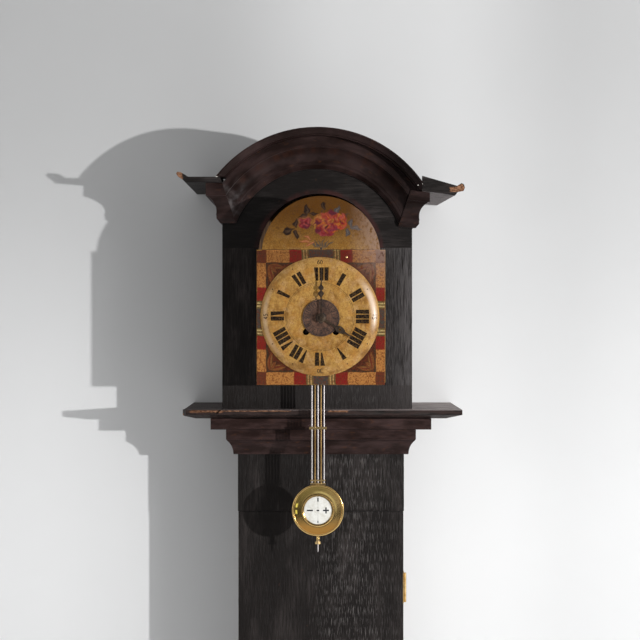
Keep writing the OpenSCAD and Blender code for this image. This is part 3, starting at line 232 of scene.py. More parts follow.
def board(name, run, seed, greyed=0.5, broken=(), extra=None, painted_glints=0.1):
    """Ebonised softwood whose grain runs up ("z"), across ("x") or in depth ("y"). broken
    lists boxes in mm (low corner, high corner) where the black has split off bare wood.
    extra(finish, colour, x, y, z) may repaint part of it. The last argument is how strong the
    painted glint is: pale streaks along the grain that stand for the window's sheen, strongest
    on the side toward the window."""
    finish = Finish(name, Specular_IOR_Level=0.17)
    x, y, z = finish.spot
    along, side = {"z": (z, x + y), "x": (x, z + y), "y": (y, x + z)}[run]
    grain = finish.noise((side * 0.3, along * 0.022, seed), 5, 0.62)
    patch = finish.noise((side * 0.022, along * 0.006, seed + 5))
    glint = finish.noise((side * 1.05, along * 0.046, seed + 9), 2, 0.5).rises(0.57, 0.68)
    pore = finish.noise((side * 0.5, along * 0.034, seed + 13), 2, 0.5).rises(0.54, 0.64)
    scar = finish.cloud((0.09, 0.09, 0.07), 4).rises(0.68, 0.74)
    wear = (grain * 0.55 + patch * 0.75).rises(0.62 - 0.12 * greyed, 0.95 - 0.12 * greyed)
    # Painted sheen: pale glint streaks, laid mostly on the side toward the window.
    painted_sheen_side = x.rises(-40, 30) * (1 - x.rises(90, 150) * 0.7)
    colour = finish.coats(
        (0.0066, 0.0045, 0.0038),
        ((0.042, 0.034, 0.032), wear * (0.45 + greyed)),
        ((0.0065, 0.0046, 0.004), pore * 0.65),
        ((0.235, 0.215, 0.205), glint * (painted_sheen_side * painted_glints + 0.02)),
        ((0.055, 0.027, 0.017), scar * 0.4),
    )
    if extra:
        colour = extra(finish, colour, x, y, z)
    rough = 0.42 + grain * 0.25 + scar * 0.15
    if broken:
        jag = finish.cloud((0.22, 0.35, 0.35), 4, 0.7) * 12 - 6
        hit = 0
        for low, high in broken:
            one = (x + jag).within(low[0], high[0], 1) * y.within(low[1], high[1], 1)
            hit = one * (z + jag * 0.35).within(low[2], high[2], 0.8) + hit
        fibre = finish.cloud((0.14, 0.5, 0.45), 4, 0.7)
        colour = finish.mix(colour, finish.mix(BARE, BARE_PALE, fibre.rises(0.4, 0.66)), hit * 0.92)
        rough = rough + hit * 0.3
    finish.paint(colour, rough)
    finish.bump(grain + glint * 0.25 - pore * 0.3 + patch * 0.5, 0.0016, 0.55)
    return finish.material


def dress(material, *nodes):
    """Gives CAD nodes their material."""
    for node in nodes:
        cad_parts[node].data.materials.clear()
        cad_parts[node].data.materials.append(material)


def box_mm(node):
    """The low and the high corner of a CAD node, in mm."""
    return [[c * 1000 for c in corner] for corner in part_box(node)]


def depth(v):
    """The Y in mm of a depth in mm in front of the wall."""
    return WALL_Y * 1000 - v


hood_low, hood_high = box_mm("hood_arch_board")
HOOD_X = (hood_low[0] + hood_high[0]) / 2
ARCH_R = 178.5
ARCH_OUTER_R = 255.5
ARCH_MIDDLE_R = 210
ARCH_Z = box_mm("arch_moulding")[1][2] - ARCH_OUTER_R
SEAT = box_mm("waist_shelf")[1][2]


def ring_of_old_paint(finish, colour, x, y, z):
    """The worn red-brown ring that runs round the arched opening, and painted shade: the board's
    left part is darker, as it lies in the arch's shade, and the opening's inner face is near
    black."""
    across = x - (HOOD_X + 3.6)
    inner_face = y.rises(hood_low[1] + 0.4, hood_low[1] + 1.2)
    face = 1 - inner_face
    broken_line = finish.cloud((0.12, 0.1, 0.12), 4) * 5 - 2.5
    ring = (distance(across, z - (hood_low[2] - 13)) + broken_line).within(113, 131, 4) * face
    worn = finish.cloud(0.03).rises(0.4, 0.62)
    # Painted shade: near black on the opening's inner face, darker on the board's left part.
    return finish.coats(
        colour,
        ((0.0035, 0.0028, 0.0024), (1 - across.rises(-150, -70)) * face * 0.6),
        ((0.003, 0.002, 0.002), inner_face),
        ((0.06, 0.016, 0.014), ring * (worn * 0.5 + 0.1)),
    )


def sun_faded(finish, colour, x, y, z):
    """The hood's right edge, greyed by light, dusty, and painted paler as a sheen from the window;
    its bottom rail is smoother, painted darker at its left and lighter at its right as a
    sheen from the window side.
    """
    streaks = finish.cloud((0.3, 0.25, 0.03), 4).rises(0.28, 0.62)
    rail = finish.mix((0.011, 0.008, 0.007), (0.034, 0.028, 0.027), x.rises(-170, 190))
    # Painted sheen and shade: the right edge paler, the rail darker at left and lighter at right.
    return finish.coats(
        colour,
        ((0.095, 0.086, 0.086), x.rises(115, 195) * streaks * 0.85),
        (rail, (1 - z.rises(1602, 1606)) * 0.72),
    )


def dusty_top(finish, colour, x, y, z):
    """The shelf's red-brown edge, and its pale upper face, which is dusty and carries a painted
    sheen of grazing light that grows toward the right.
    """
    edge = finish.cloud((0.03, 0.05, 0.2), 4, 0.6)
    # Dusty, and a painted sheen: the upper face is paler, more so toward the right.
    paleness = z.rises(SEAT - 0.9, SEAT - 0.2) * (edge.rises(0.3, 0.6) * 0.5 + 0.45)
    return finish.coats(
        colour,
        ((0.042, 0.024, 0.021), edge.rises(0.35, 0.6) * 0.7),
        ((0.37, 0.31, 0.3), paleness * x.rises(-330, 120)),
    )


def dusty_soffit(finish, colour, x, y, z):
    """The hanging wing board is paler behind its front edge."""
    front = box_mm("wing_board_right")[0][1]
    paleness = finish.cloud((0.05, 0.02, 0.05), 4).rises(0.3, 0.6) * 0.35 + 0.45
    return finish.mix(colour, (0.25, 0.215, 0.212), y.rises(front + 1.5, front + 4) * paleness)


for node, run, seed, greyed, extra, painted_glints in (
    ("trunk_sides", "z", 1, 0.5, None, 0.3),
    ("trunk_rails", "z", 2, 0.3, None, 0.5),
    ("base_panels", "z", 3, 0.4, None, 0.3),
    ("plinth", "x", 4, 0.4, None, 0.1),
    ("trunk_door", "z", 5, 0.3, None, 0.5),
    ("hood_sides", "z", 6, 0.7, None, 0.2),
    ("hood_frame", "z", 7, 0.45, sun_faded, 0.6),
    ("hood_arch_board", "x", 8, 0.35, ring_of_old_paint, 0),
    ("hood_roof", "y", 9, 0.6, None, 0),
):
    dress(board("ebonised_" + node, run, seed, greyed, extra=extra, painted_glints=painted_glints), node)

dress(board("ebonised_shelf", "x", 10, 0.6, [
    ((-262, depth(252), SEAT - 5.5), (-196, depth(236), SEAT - 1.5)),
    ((-196, depth(252), SEAT - 3.2), (-60, depth(236), SEAT - 1.4)),
    ((-290, depth(250), SEAT - 15), (-276, depth(190), SEAT - 8)),
    ((14, depth(252), SEAT - 4.5), (54, depth(236), SEAT - 1.2)),
], dusty_top), "waist_shelf")
left_top = box_mm("wing_board_left")[1][2]
dress(board("ebonised_wing_left", "x", 11, 0.5, [
    ((-300, depth(260), left_top - 15), (-276, depth(235), left_top + 5)),
]), "wing_board_left")
dress(board("ebonised_wing_right", "x", 12, 0.8, [
    ((257, depth(260), 1991), (290, depth(238), 2001)),
    ((272, depth(260), 1997), (284, depth(230), 2006)),
], dusty_soffit), "wing_board_right")

# Mouldings:
# The mouldings are stained a dark red-brown that has worn through to orange at their
# edges. On the arch the same noise is laid round the arch's centre.


def moulding(node, seed, lift):
    """A stained moulding whose grain runs along x, or round the arch. Those under the shelf
    have dark lines of painted shade where their steps meet, and the arch has a painted sheen
    at its left and painted shade at its right."""
    finish = Finish("red_brown_" + node, Coat_Weight=0.05, Coat_Roughness=0.3, Specular_IOR_Level=0.1)
    x, y, z = finish.spot
    along, side = x + y, z
    arched = node == "arch_moulding"
    if arched:
        across, up = x - HOOD_X, z - ARCH_Z
        radius = distance(across, up)
        along = finish.number("ARCTAN2", up, across) * ARCH_MIDDLE_R
        side = radius + y
    grain = finish.noise((side * 0.26, along * 0.02, seed), 4, 0.6)
    patch = finish.noise((side * 0.05, along * 0.014, seed + 3), 4)
    rub = finish.noise((side * 0.11, along * 0.05, seed + 6), 4)
    dark, light = (tuple(c * lift for c in tone)
                   for tone in ((0.0165, 0.008, 0.0066), (0.046, 0.026, 0.024)))
    colour = finish.coats(
        dark,
        (light, patch.rises(0.38, 0.66)),
        ((0.088, 0.034, 0.014), rub.rises(0.58, 0.72) * 0.4),
        ((0.01, 0.007, 0.007), grain.rises(0.55, 0.75) * 0.6),
    )
    if node.startswith("waist"):
        # Painted shade: dark lines where the steps meet.
        step_crease_shade = z.within(1513.6, 1516, 0.8) + z.within(1489.6, 1491.4, 0.8)
        colour = finish.mix(colour, (0.006, 0.004, 0.004), step_crease_shade * 0.7)
    if arched:
        rubbed = radius.within(ARCH_R + 31, ARCH_R + 44, 4) * rub.rises(0.45, 0.68)
        # Painted sheen at the arch's lower left, and painted shade toward its right.
        painted_sheen = (across * -1).within(155, 205, 25) * up.within(60, 150, 25)
        colour = finish.coats(
            colour,
            ((0.05, 0.018, 0.01), rubbed * 0.5),
            ((0.004, 0.0025, 0.0025), across.rises(70, 210) * 0.6),
            ((0.085, 0.076, 0.076), painted_sheen * rub.rises(0.4, 0.66) * 0.7),
        )
    finish.paint(colour, 0.34 + patch * 0.22 + rub.rises(0.58, 0.72) * 0.15)
    finish.bump(grain * 0.7 + patch + rub * 0.6, 0.0022, 0.5)
    return finish.material


for node, seed, lift in (
    ("arch_moulding", 20, 0.74),
    ("cornice_left", 21, 0.74),
    ("cornice_right", 22, 0.62),
    ("waist_steps", 23, 1.1),
    ("waist_cove", 24, 0.95),
    ("base_moulding", 25, 1.2),
):
    dress(moulding(node, seed, lift), node)

# Inner wood:
# Backboard, floor and movement box are plain old pine, brown with age and dirt.
pine = Finish("old_pine")
x, y, z = pine.spot
grain = pine.noise(((x + y) * 0.16, z * 0.006, 31), 5, 0.6)
pine.paint(pine.coats(
    (0.055, 0.026, 0.011),
    ((0.17, 0.088, 0.038), grain.rises(0.32, 0.68)),
    ((0.028, 0.018, 0.012), pine.cloud(0.012, 4).rises(0.42, 0.7) * 0.75),
), 0.62 + grain * 0.25)
pine.bump(grain, 0.0012, 0.5)
dress(pine.material, "backboard", "floor_board", "box_top", "box_bottom", "box_back",
      "box_door_left", "box_door_right")

# Dial ground:
# The shield is ochre paint under old varnish, mottled, specked and finely cracked, with
# the sheen on the raised dial's rim painted in. Its sides and back are dark old wood.
disc_low, disc_high = box_mm("alarm_disc")
DIAL_X = (disc_low[0] + disc_high[0]) / 2
DIAL_Z = (disc_low[2] + disc_high[2]) / 2
shield_low, shield_high = box_mm("dial_shield")
SHIELD_FRONT = depth(320)
RAISED = np.array([-2, 2.6])
RAISED_R = 115.6
RAISED_H = 9
FLAT_R = 94


def ochre(finish):
    """The old ground: its colour, its cracks and its finer clouds. On the lunette it is browner,
    and it darkens toward the lunette's top in painted shade from the arch."""
    x, y, z = finish.spot
    broad = finish.cloud(0.03, 4)
    fine = finish.cloud((0.17, 0.22, 0.13), 4, 0.6)
    warp = fine * 1.1
    crack = finish.cracks((x * 0.2 + warp, y * 0.2, z * 0.2 + warp))
    line = 1 - crack.rises(0.015, 0.075)
    speck = finish.cloud(0.3, 3, 0.8, (0, 0, 40)).rises(0.635, 0.7)
    rusty = finish.cloud((0.26, 0.3, 0.26), 4, 0.8, (70, 0, 0)).rises(0.56, 0.66)
    pale = finish.cloud((0.06, 0.05, 0.06), 4, shift=(30, 0, 0)).rises(0.48, 0.66)
    ruddy = finish.cloud(0.05, shift=(9, 0, 0)).rises(0.46, 0.66)
    colour = finish.coats(
        (0.215, 0.098, 0.021),
        ((0.45, 0.252, 0.066), (fine * 0.5 + broad * 0.55).rises(0.34, 0.64)),
        ((0.49, 0.3, 0.135), pale * 0.45),
        ((0.37, 0.165, 0.03), ruddy * 0.6),
        ((0.23, 0.078, 0.02), rusty * 0.5),
        ((0.13, 0.058, 0.016), line * 0.4),
        ((0.045, 0.02, 0.008), speck * 0.8),
        # The lunette is browner; the darkening toward its top is painted shade from the arch.
        ((0.205, 0.09, 0.012), z.rises(DIAL_Z + 124, DIAL_Z + 140) * 0.5),
        ((0.075, 0.027, 0.003), z.rises(DIAL_Z + 90, DIAL_Z + 215) * 0.93),
    )
    return colour, line, fine


def varnish(finish, colour, line, fine):
    """A coat of old varnish. Its pale, hazy patch at the shield's upper right is painted in: it
    is hazy varnish and a painted sheen.
    """
    x, y, z = finish.spot
    haze_and_sheen = x.rises(45, 118) * z.rises(DIAL_Z + 40, DIAL_Z + 150) * fine.rises(0.25, 0.55)
    finish.paint(finish.mix(colour, (0.34, 0.235, 0.19), haze_and_sheen * 0.6), 0.3 + fine * 0.22)
    finish.sets("Coat Weight", 0.32)
    finish.sets("Coat Roughness", 0.25)
    finish.sets("Specular IOR Level", 0.06)
    finish.bump(fine * 0.5 - line * 0.5, 0.0009, 0.4)


ground = Finish("ochre_ground")
x, y, z = ground.spot
under, line, fine = ochre(ground)
front = 1 - y.rises(SHIELD_FRONT + 0.8, SHIELD_FRONT + 1.6)
dx, dz = x - (DIAL_X + RAISED[0]), z - (DIAL_Z + RAISED[1])
radius = distance(dx, dz)
bearing = ground.number("ARCTAN2", dz, abs(dx)) * DEGREES
right_half = dx.rises(-1, 1)
right_rim = radius.within(100, 110.5, 4) * bearing.within(-8, 34, 14) * right_half
left_rim = radius.within(103, 111, 3) * bearing.within(-38, 22, 14) * (1 - right_half)
rimmed = ground.coats(
    under, ((0.72, 0.56, 0.43), right_rim * 0.75), ((0.62, 0.46, 0.3), left_rim * 0.42))
varnish(ground, ground.mix((0.012, 0.007, 0.004), rimmed, front), line, fine)
dress(ground.material, "dial_shield")

# Flat painting:
# The plaid border, the corner leaves and the spray of roses lie on one thin sheet that
# covers the shield outside the raised dial. Their colours are worked out per point by
# simple brush shapes and kept in the sheet's own attribute.
BORDER_SIDE = 18.6
BORDER_TOP = 25.2
LUNETTE_FOOT = 132.4


class Painting:
    """Paint laid in turn over points given in mm from the hands' arbor."""

    def __init__(self, across, up):
        self.x, self.z = across, up
        self.paint = np.zeros((across.size, 3))
        self.cover = np.zeros(across.size)

    def lay(self, amount, colour):
        """Covers the points by amount, from 0 to 1, with one colour."""
        amount = np.clip(amount, 0, 1)
        self.paint = self.paint * (1 - amount[:, None]) + amount[:, None] * np.array(colour)
        self.cover = 1 - (1 - self.cover) * (1 - amount)

    def box(self, left, right, foot, top, colour, amount=1, soft=0.5):
        """A rectangle with soft edges: the product of four clipped ramps."""
        (left, right), (foot, top) = sorted((left, right)), sorted((foot, top))
        sides = (self.x - left, right - self.x, self.z - foot, top - self.z)
        inside = np.prod([np.clip(0.5 + d / (2 * soft), 0, 1) for d in sides], axis=0)
        self.lay(inside * amount, colour)

    def fill(self, past, colour, amount, soft):
        """Covers what lies inside an outline: past is a point's distance outside it."""
        self.lay((0.5 - past / (2 * soft)) * amount, colour)

    def turned(self, centre, angle):
        """How far the points lie along and beside a line from centre, at angle in degrees."""
        a = math.radians(angle)
        dx, dz = self.x - centre[0], self.z - centre[1]
        return dx * math.cos(a) + dz * math.sin(a), dz * math.cos(a) - dx * math.sin(a)

    def petal(self, centre, half, angle, colour, amount=1, soft=1):
        """An ellipse: half holds its two half axes in mm, angle turns it."""
        along, side = self.turned(centre, angle)
        round_it = np.sqrt((along / half[0]) ** 2 + (side / half[1]) ** 2)
        self.fill((round_it - 1) * min(half), colour, amount, soft)

    def leaf(self, foot, length, width, angle, colour, amount=1, soft=0.9):
        """A pointed leaf from its foot: its half width follows half a sine wave."""
        along, side = self.turned(foot, angle)
        t = np.clip(along / length, 0, 1)
        over = np.maximum(np.maximum(-along, along - length), 0)
        half = 0.5 * width * np.sin(np.pi * t ** 0.85)
        self.fill(np.abs(side) - half + over, colour, amount, soft)

    def arc(self, centre, radius, start, end, width, colour, amount=1, soft=0.7):
        """A brush stroke along part of a circle, thinning toward both its ends."""
        dx, dz = self.x - centre[0], self.z - centre[1]
        angle = (np.degrees(np.arctan2(dz, dx)) - start) % 360
        t = angle / ((end - start) % 360)
        wide = 0.5 * width * np.sqrt(np.clip(4 * t * (1 - t), 0, 1))
        past = np.abs(np.hypot(dx, dz) - radius) - wide + np.where(t > 1, 9, 0)
        self.fill(past, colour, amount, soft)


CREAM = (0.39, 0.165, 0.042)
RED = (0.18, 0.008, 0.008)
CORNER = (0.1, 0.024, 0.012)
SLATE = (0.046, 0.041, 0.035)
OLIVE = (0.085, 0.076, 0.026)
STRAW = (0.42, 0.31, 0.13)
DARK_GREEN = (0.022, 0.021, 0.013)
LINES = (OLIVE, STRAW, OLIVE, STRAW, OLIVE)


def plaid(art, half_w, foot, top):
    """The border: cream, red and slate blocks with pairs of olive lines."""
    side, cap = BORDER_SIDE, BORDER_TOP
    art.box(-half_w, half_w, foot, top, (0.05, 0.014, 0.008))
    rows = ((-half_w, -half_w + side), (half_w - side, half_w))
    caps = ((top - cap, top), (foot, foot + cap))
    for low, high in rows:
        z0, z1 = foot + cap, top - cap
        mid = (z0 + z1) / 2 - 2
        art.box(low + 0.6, high - 0.6, z0 + 0.5, z1 - 0.5, CREAM)
        for s in (-1, 1):
            art.box(low + 0.4, high - 0.4, mid + s * 33.5, mid + s * 60.5, RED)
            for line, tone in zip((20.5, 23.6, 26.8, 29.6, 32.4), LINES):
                at = mid + s * line
                art.box(low, high, at - 1.6, at + 1.6, tone)
        art.box(low, high, mid - 19, mid + 19, SLATE)
    for (foot_z, top_z), inner in zip(caps, (23.5, 14.5)):
        art.box(-half_w + side, half_w - side, foot_z + 0.6, top_z - 0.6, CREAM)
        for s in (-1, 1):
            art.box(s * (inner + 13.8), s * (inner + 38), foot_z + 0.4, top_z - 0.4, RED)
            for line, tone in zip((1.4, 4.4, 7.2, 10, 12.6), LINES):
                at = s * (inner + line)
                art.box(at - 1.5, at + 1.5, foot_z, top_z, tone, 0.55 if tone == STRAW else 1)
        art.box(-inner, inner, foot_z, top_z, SLATE)
        for low, high in rows:
            art.box(low, high, foot_z, top_z, CORNER)
            for k in (0.3, 0.7):
                at = low + (high - low) * k
                art.box(at - 0.6, at + 0.6, foot_z, top_z, (0.045, 0.024, 0.014), 0.7)
                at = foot_z + (top_z - foot_z) * k
                art.box(low, high, at - 0.6, at + 0.6, (0.045, 0.024, 0.014), 0.7)


def corner_leaves(art, half_w, foot, top):
    """Three scrolled leaves in each corner between border and raised dial."""
    for sx in (-1, 1):
        for z_edge, sz in ((top - BORDER_TOP, -1), (foot + BORDER_TOP, 1)):
            x_edge = sx * (half_w - BORDER_SIDE)
            for wide, tall, tone in (
                (52, 52, (0.048, 0.012, 0.006)), (3.4, 52, DARK_GREEN), (52, 3, DARK_GREEN),
            ):
                art.box(x_edge, x_edge - sx * wide, z_edge, z_edge + sz * tall, tone)
            for turn, length in ((8, 34), (45, 22), (82, 36)):
                a = math.radians(turn)
                angle = math.degrees(math.atan2(sz * math.sin(a), -sx * math.cos(a)))
                for step, less, width, twist, tone in (
                    (5, 0, 11.5, 0, (0.026, 0.013, 0.008)),
                    (5, 1.5, 9.4, 0, (0.17, 0.06, 0.016)),
                    (7, 6, 5, 4, (0.11, 0.016, 0.01)),
                    (9, 11, 1.8, 6, (0.2, 0.105, 0.026)),
                ):
                    start = (x_edge - sx * step, z_edge + sz * step)
                    art.leaf(start, length - less, width, angle + twist, tone)


LEAF = (0.014, 0.008, 0.006)
LEAF_BACK = (0.055, 0.031, 0.018)
CRIMSON = (0.15, 0.01, 0.014)
PINK = (0.29, 0.05, 0.045)
PLUM = (0.085, 0.012, 0.022)
ORANGE = (0.34, 0.08, 0.012)
YELLOW = (0.37, 0.165, 0.024)


def spray(art):
    """Two roses with buds, dark leaves round them and a tuft of stems below."""
    for foot, length, width, angle in (
        ((-50, 174), 19, 11, 84), ((-53, 172), 24, 14, 196), ((-50, 171), 20, 11, 285),
        ((-26, 202), 18, 13, 100), ((-25, 201), 19, 8, 197), ((-22, 202), 17, 7, 2),
        ((5, 210), 17, 8, 95), ((28, 201), 20, 10, 68), ((55, 175), 18, 9, 74),
        ((56, 176), 24, 8, -7), ((53, 174), 16, 9, 262),
    ):
        blue = foot[0] > 20
        art.leaf(foot, length, width, angle, (0.05, 0.045, 0.046) if blue else LEAF)
        art.leaf(foot, length * 0.8, width * 0.32, angle, (0.105, 0.085, 0.075) if blue else LEAF_BACK, 0.8)
    for foot, length, width, angle in (
        ((3, 197), 13, 4, 92), ((12, 196), 12, 4, 75), ((-40, 188), 9, 5, 140), ((46, 196), 12, 4, 40),
    ):
        art.leaf(foot, length, width, angle, LEAF_BACK)
    for dx in (-19, -12, -5, 3, 10, 18):
        art.leaf((1 + dx * 0.25, 136), 16 + abs(dx) * 0.3, 3.4, 90 - dx * 3.2, (0.06, 0.052, 0.044), 0.9)
    for foot, length, width, angle in (
        ((-22, 148), 20, 7, 175), ((-18, 152), 17, 6, 150), ((-14, 146), 18, 5, 197),
    ):
        art.leaf(foot, length, width, angle, (0.23, 0.06, 0.026), 0.85)
        art.leaf(foot, length, width * 0.4, angle, (0.38, 0.16, 0.06), 0.8)
    rng = np.random.default_rng(12)
    art.petal((-31, 186), (13.5, 11.5), 20, (0.3, 0.11, 0.04), 0.55, 2)
    art.petal((-31, 184), (12, 10), 15, CRIMSON)
    art.petal((-27, 188), (8, 5), 35, PINK)
    art.petal((-36, 186), (4, 8), 12, (0.22, 0.03, 0.028))
    art.arc((-30, 184), 8, 150, 330, 3.4, PLUM)
    art.arc((-30, 184), 4.4, 190, 20, 2.2, PINK)
    art.petal((-29, 184), (2.4, 2.4), 0, (0.07, 0.01, 0.012))
    art.petal((14, 186), (31, 17), 0, (0.34, 0.12, 0.034), 0.75, 2.5)
    art.petal((32, 190), (15, 13), 25, ORANGE)
    art.petal((40, 182), (12, 8), 38, (0.33, 0.045, 0.02))
    for turn, tone in ((10, YELLOW), (35, ORANGE), (58, YELLOW), (80, (0.3, 0.06, 0.024))):
        art.leaf((25, 184), 23, 6.5, turn, tone, 0.9)
    art.petal((16, 199), (17, 7), -6, (0.27, 0.045, 0.024))
    art.petal((22, 204), (9, 5), -12, PLUM, 0.8)
    art.petal((10, 176), (21, 18), 0, (0.2, 0.026, 0.03))
    art.petal((-6, 178), (6.5, 14), 6, PLUM)
    art.petal((23, 174), (7.5, 13), -8, (0.17, 0.022, 0.036))
    art.petal((9, 183), (11, 8), 0, (0.3, 0.08, 0.026))
    tones = (CRIMSON, PLUM, PINK, ORANGE, YELLOW, CRIMSON, (0.24, 0.022, 0.012))
    for centre, spread, count, choice in (
        ((11, 180), (23, 17), 90, 7), ((36, 188), (15, 12), 46, 7), ((-30, 185), (10, 8), 20, 3),
    ):
        for k in range(count):
            a, r = rng.uniform(0, 2 * math.pi), rng.uniform(0.1, 1)
            at = (centre[0] + spread[0] * r * math.cos(a), centre[1] + spread[1] * r * math.sin(a))
            tone = tones[rng.integers(0, choice)]
            swirl = math.degrees(a) + rng.choice((70, 100, 160))
            length, width, amount = rng.uniform(7, 12), rng.uniform(2.6, 4.6), rng.uniform(0.45, 0.85)
            art.leaf(at, length, width, swirl, tone, amount, 1.3)
    for at, half in (((10, 178), (2.4, 3)), ((-30, 184), (2.2, 2)), ((37, 187), (1.6, 2.4))):
        art.petal(at, half, 0, (0.06, 0.01, 0.012), 0.9)
    for k in range(26):
        a = 2.4 * k
        art.petal((6 + 42 * math.cos(a) * (k % 5 + 2) / 6, 183 + 22 * math.sin(a) * (k % 4 + 2) / 5),
                  (1.2, 0.8), 40 * k, LEAF_BACK, 0.6)


def painted_sheet():
    """A grid with 1 mm steps over the shield, pulled onto the lunette's edge and onto the
    raised dial's foot, and 0.12 mm in front of the ground."""
    half_w = shield_high[0]
    foot, peak = shield_low[2] - DIAL_Z, shield_high[2] - DIAL_Z
    lunette_z = peak - RAISED_R
    xs = np.arange(-half_w + 0.2, half_w, 1)
    zs = np.arange(foot + 0.2, peak + 1, 1)
    px, pz = (a.ravel() for a in np.meshgrid(xs, zs))
    dx, dz = px - RAISED[0], pz - RAISED[1]
    near = np.hypot(dx, dz)
    keep = near > RAISED_R - 1.6
    pull = np.where(near < RAISED_R + 0.15, (RAISED_R + 0.15) / near, 1)
    px, pz = RAISED[0] + dx * pull, RAISED[1] + dz * pull
    over = pz > LUNETTE_FOOT - 1
    far = np.hypot(px, pz - lunette_z)
    keep &= ~over | (far < RAISED_R + 1.2)
    pull = np.where(over & (far > RAISED_R - 0.3), (RAISED_R - 0.3) / far, 1)
    px, pz = px * pull, lunette_z + (pz - lunette_z) * pull
    free = np.clip((pz - LUNETTE_FOOT) / 6, 0, 1)
    sway = 1.3 * np.sin(pz / 2.3 + px / 6.1) + 0.7 * np.sin(px / 1.9)
    lift = 1.2 * np.sin(px / 2.7 - pz / 5.3) + 0.6 * np.sin(pz / 1.7)
    art = Painting(px + 0.5 * np.sin(pz / 5) + free * sway,
                   pz + 0.4 * np.sin(px / 6 + 1) + free * lift)
    art.box(-half_w, half_w, LUNETTE_FOOT - 1.2, LUNETTE_FOOT + 0.8, (0.04, 0.018, 0.01))
    plaid(art, half_w, foot, LUNETTE_FOOT)
    corner_leaves(art, half_w, foot, LUNETTE_FOOT)
    spray(art)
    blotch = np.random.default_rng(4).normal(0, 0.1, px.size)[:, None]
    index = np.arange(px.size).reshape(zs.size, xs.size)
    quads = np.stack([index[:-1, :-1], index[:-1, 1:], index[1:, 1:], index[1:, :-1]], -1).reshape(-1, 4)
    quads = quads[keep[quads].all(1)]
    used = np.unique(quads)
    renumbered = np.full(px.size, -1)
    renumbered[used] = np.arange(used.size)
    y = np.full(px.size, SHIELD_FRONT - 0.12)
    points = np.stack([px + DIAL_X, y, pz + DIAL_Z], -1)[used]
    mesh = built("painted_border", points, renumbered[quads].tolist())
    tone = art.paint / np.maximum(art.cover, 0.02)[:, None] * (1 + blotch)
    colours = np.concatenate([np.clip(tone, 0, 1), art.cover[:, None]], 1)[used]
    layer = mesh.color_attributes.new("paint", "FLOAT_COLOR", "POINT")
    layer.data.foreach_set("color", colours.astype(np.float32).ravel())
    return stand("painted_border", mesh)


border = painted_sheet()
painted = Finish("painted_flowers_and_plaid")
z = painted.spot[2]
under, line, fine = ochre(painted)
brush = painted.make("Attribute", {}, attribute_name="paint", attribute_type="GEOMETRY")
cover = Wire(painted, brush.outputs["Alpha"])
rubbed = painted.cloud((0.45, 0.4, 0.45), 4, 0.75).rises(0.3, 0.5)
grimy = painted.cloud((0.33, 0.4, 0.33), 3, 0.8, (50, 0, 0)).rises(0.51, 0.56)
plaid_only = 1 - z.rises(DIAL_Z + 128, DIAL_Z + 134)
varnish(painted, painted.coats(
    under,
    (brush.outputs["Color"], cover * (rubbed * 0.14 + 0.86)),
    ((0.125, 0.026, 0.008), grimy * plaid_only * 0.72),
    # Painted shade: the plaid darkens toward its top, where the arch shades it.
    ((0.03, 0.01, 0.005), z.rises(DIAL_Z + 40, DIAL_Z + 130) * plaid_only * 0.42),
    ((0.05, 0.025, 0.012), line * 0.35),
), line, fine)
border.data.materials.append(painted.material)
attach(border, "hood")

# Numerals:
# Only the thick strokes of the Roman hours have lasted, so each is a set of tapered bars
# and wedges with their tops outward. Quarter figures, dots and a thin circle are strips
# that follow the raised dial's rounded edge.
EDGE_R = ((RAISED_R - FLAT_R) ** 2 + (RAISED_H - 1) ** 2) / (2 * (RAISED_H - 1))


def dial_front(radius):
    """The Y in mm of the raised dial at a distance from its centre: flat, then an arc."""
    past = np.clip(np.asarray(radius, float) - FLAT_R, 0, EDGE_R)
    return SHIELD_FRONT - RAISED_H + EDGE_R - np.sqrt(EDGE_R**2 - past**2)


class Strips:
    """Quads drawn on a face, collected into one mesh."""

    def __init__(self):
        self.points, self.quads = [], []

    def add(self, left, right):
        """A strip between two equally long lines of points (across, up)."""
        first = len(self.points)
        for a, b in zip(left, right):
            self.points += [a, b]
        for k in range(first, len(self.points) - 2, 2):
            self.quads.append((k, k + 1, k + 3, k + 2))

    def line(self, path, width):
        """A strip of one width along a path."""
        path = np.asarray(path, float)
        way = np.gradient(path, axis=0)
        way /= np.maximum(np.hypot(*way.T), 1e-9)[:, None]
        side = np.stack([way[:, 1], -way[:, 0]], -1) * width / 2
        self.add(path - side, path + side)

    def mesh(self, name, centre, depth_of, lift):
        """Turns them into an object, lift mm in front of the face."""
        flat = np.asarray(self.points, float)
        spread = np.hypot(*(flat - centre).T)
        y = depth_of(spread) - lift
        points = np.stack([flat[:, 0] + DIAL_X, y, flat[:, 1] + DIAL_Z], -1)
        made = built(name, points, self.quads)
        quad = points[np.array(self.quads)]
        turn = np.cross(quad[:, 1] - quad[:, 0], quad[:, 3] - quad[:, 0])[:, 1]
        if turn.sum() > 0:
            made.flip_normals()
        return stand(name, made)


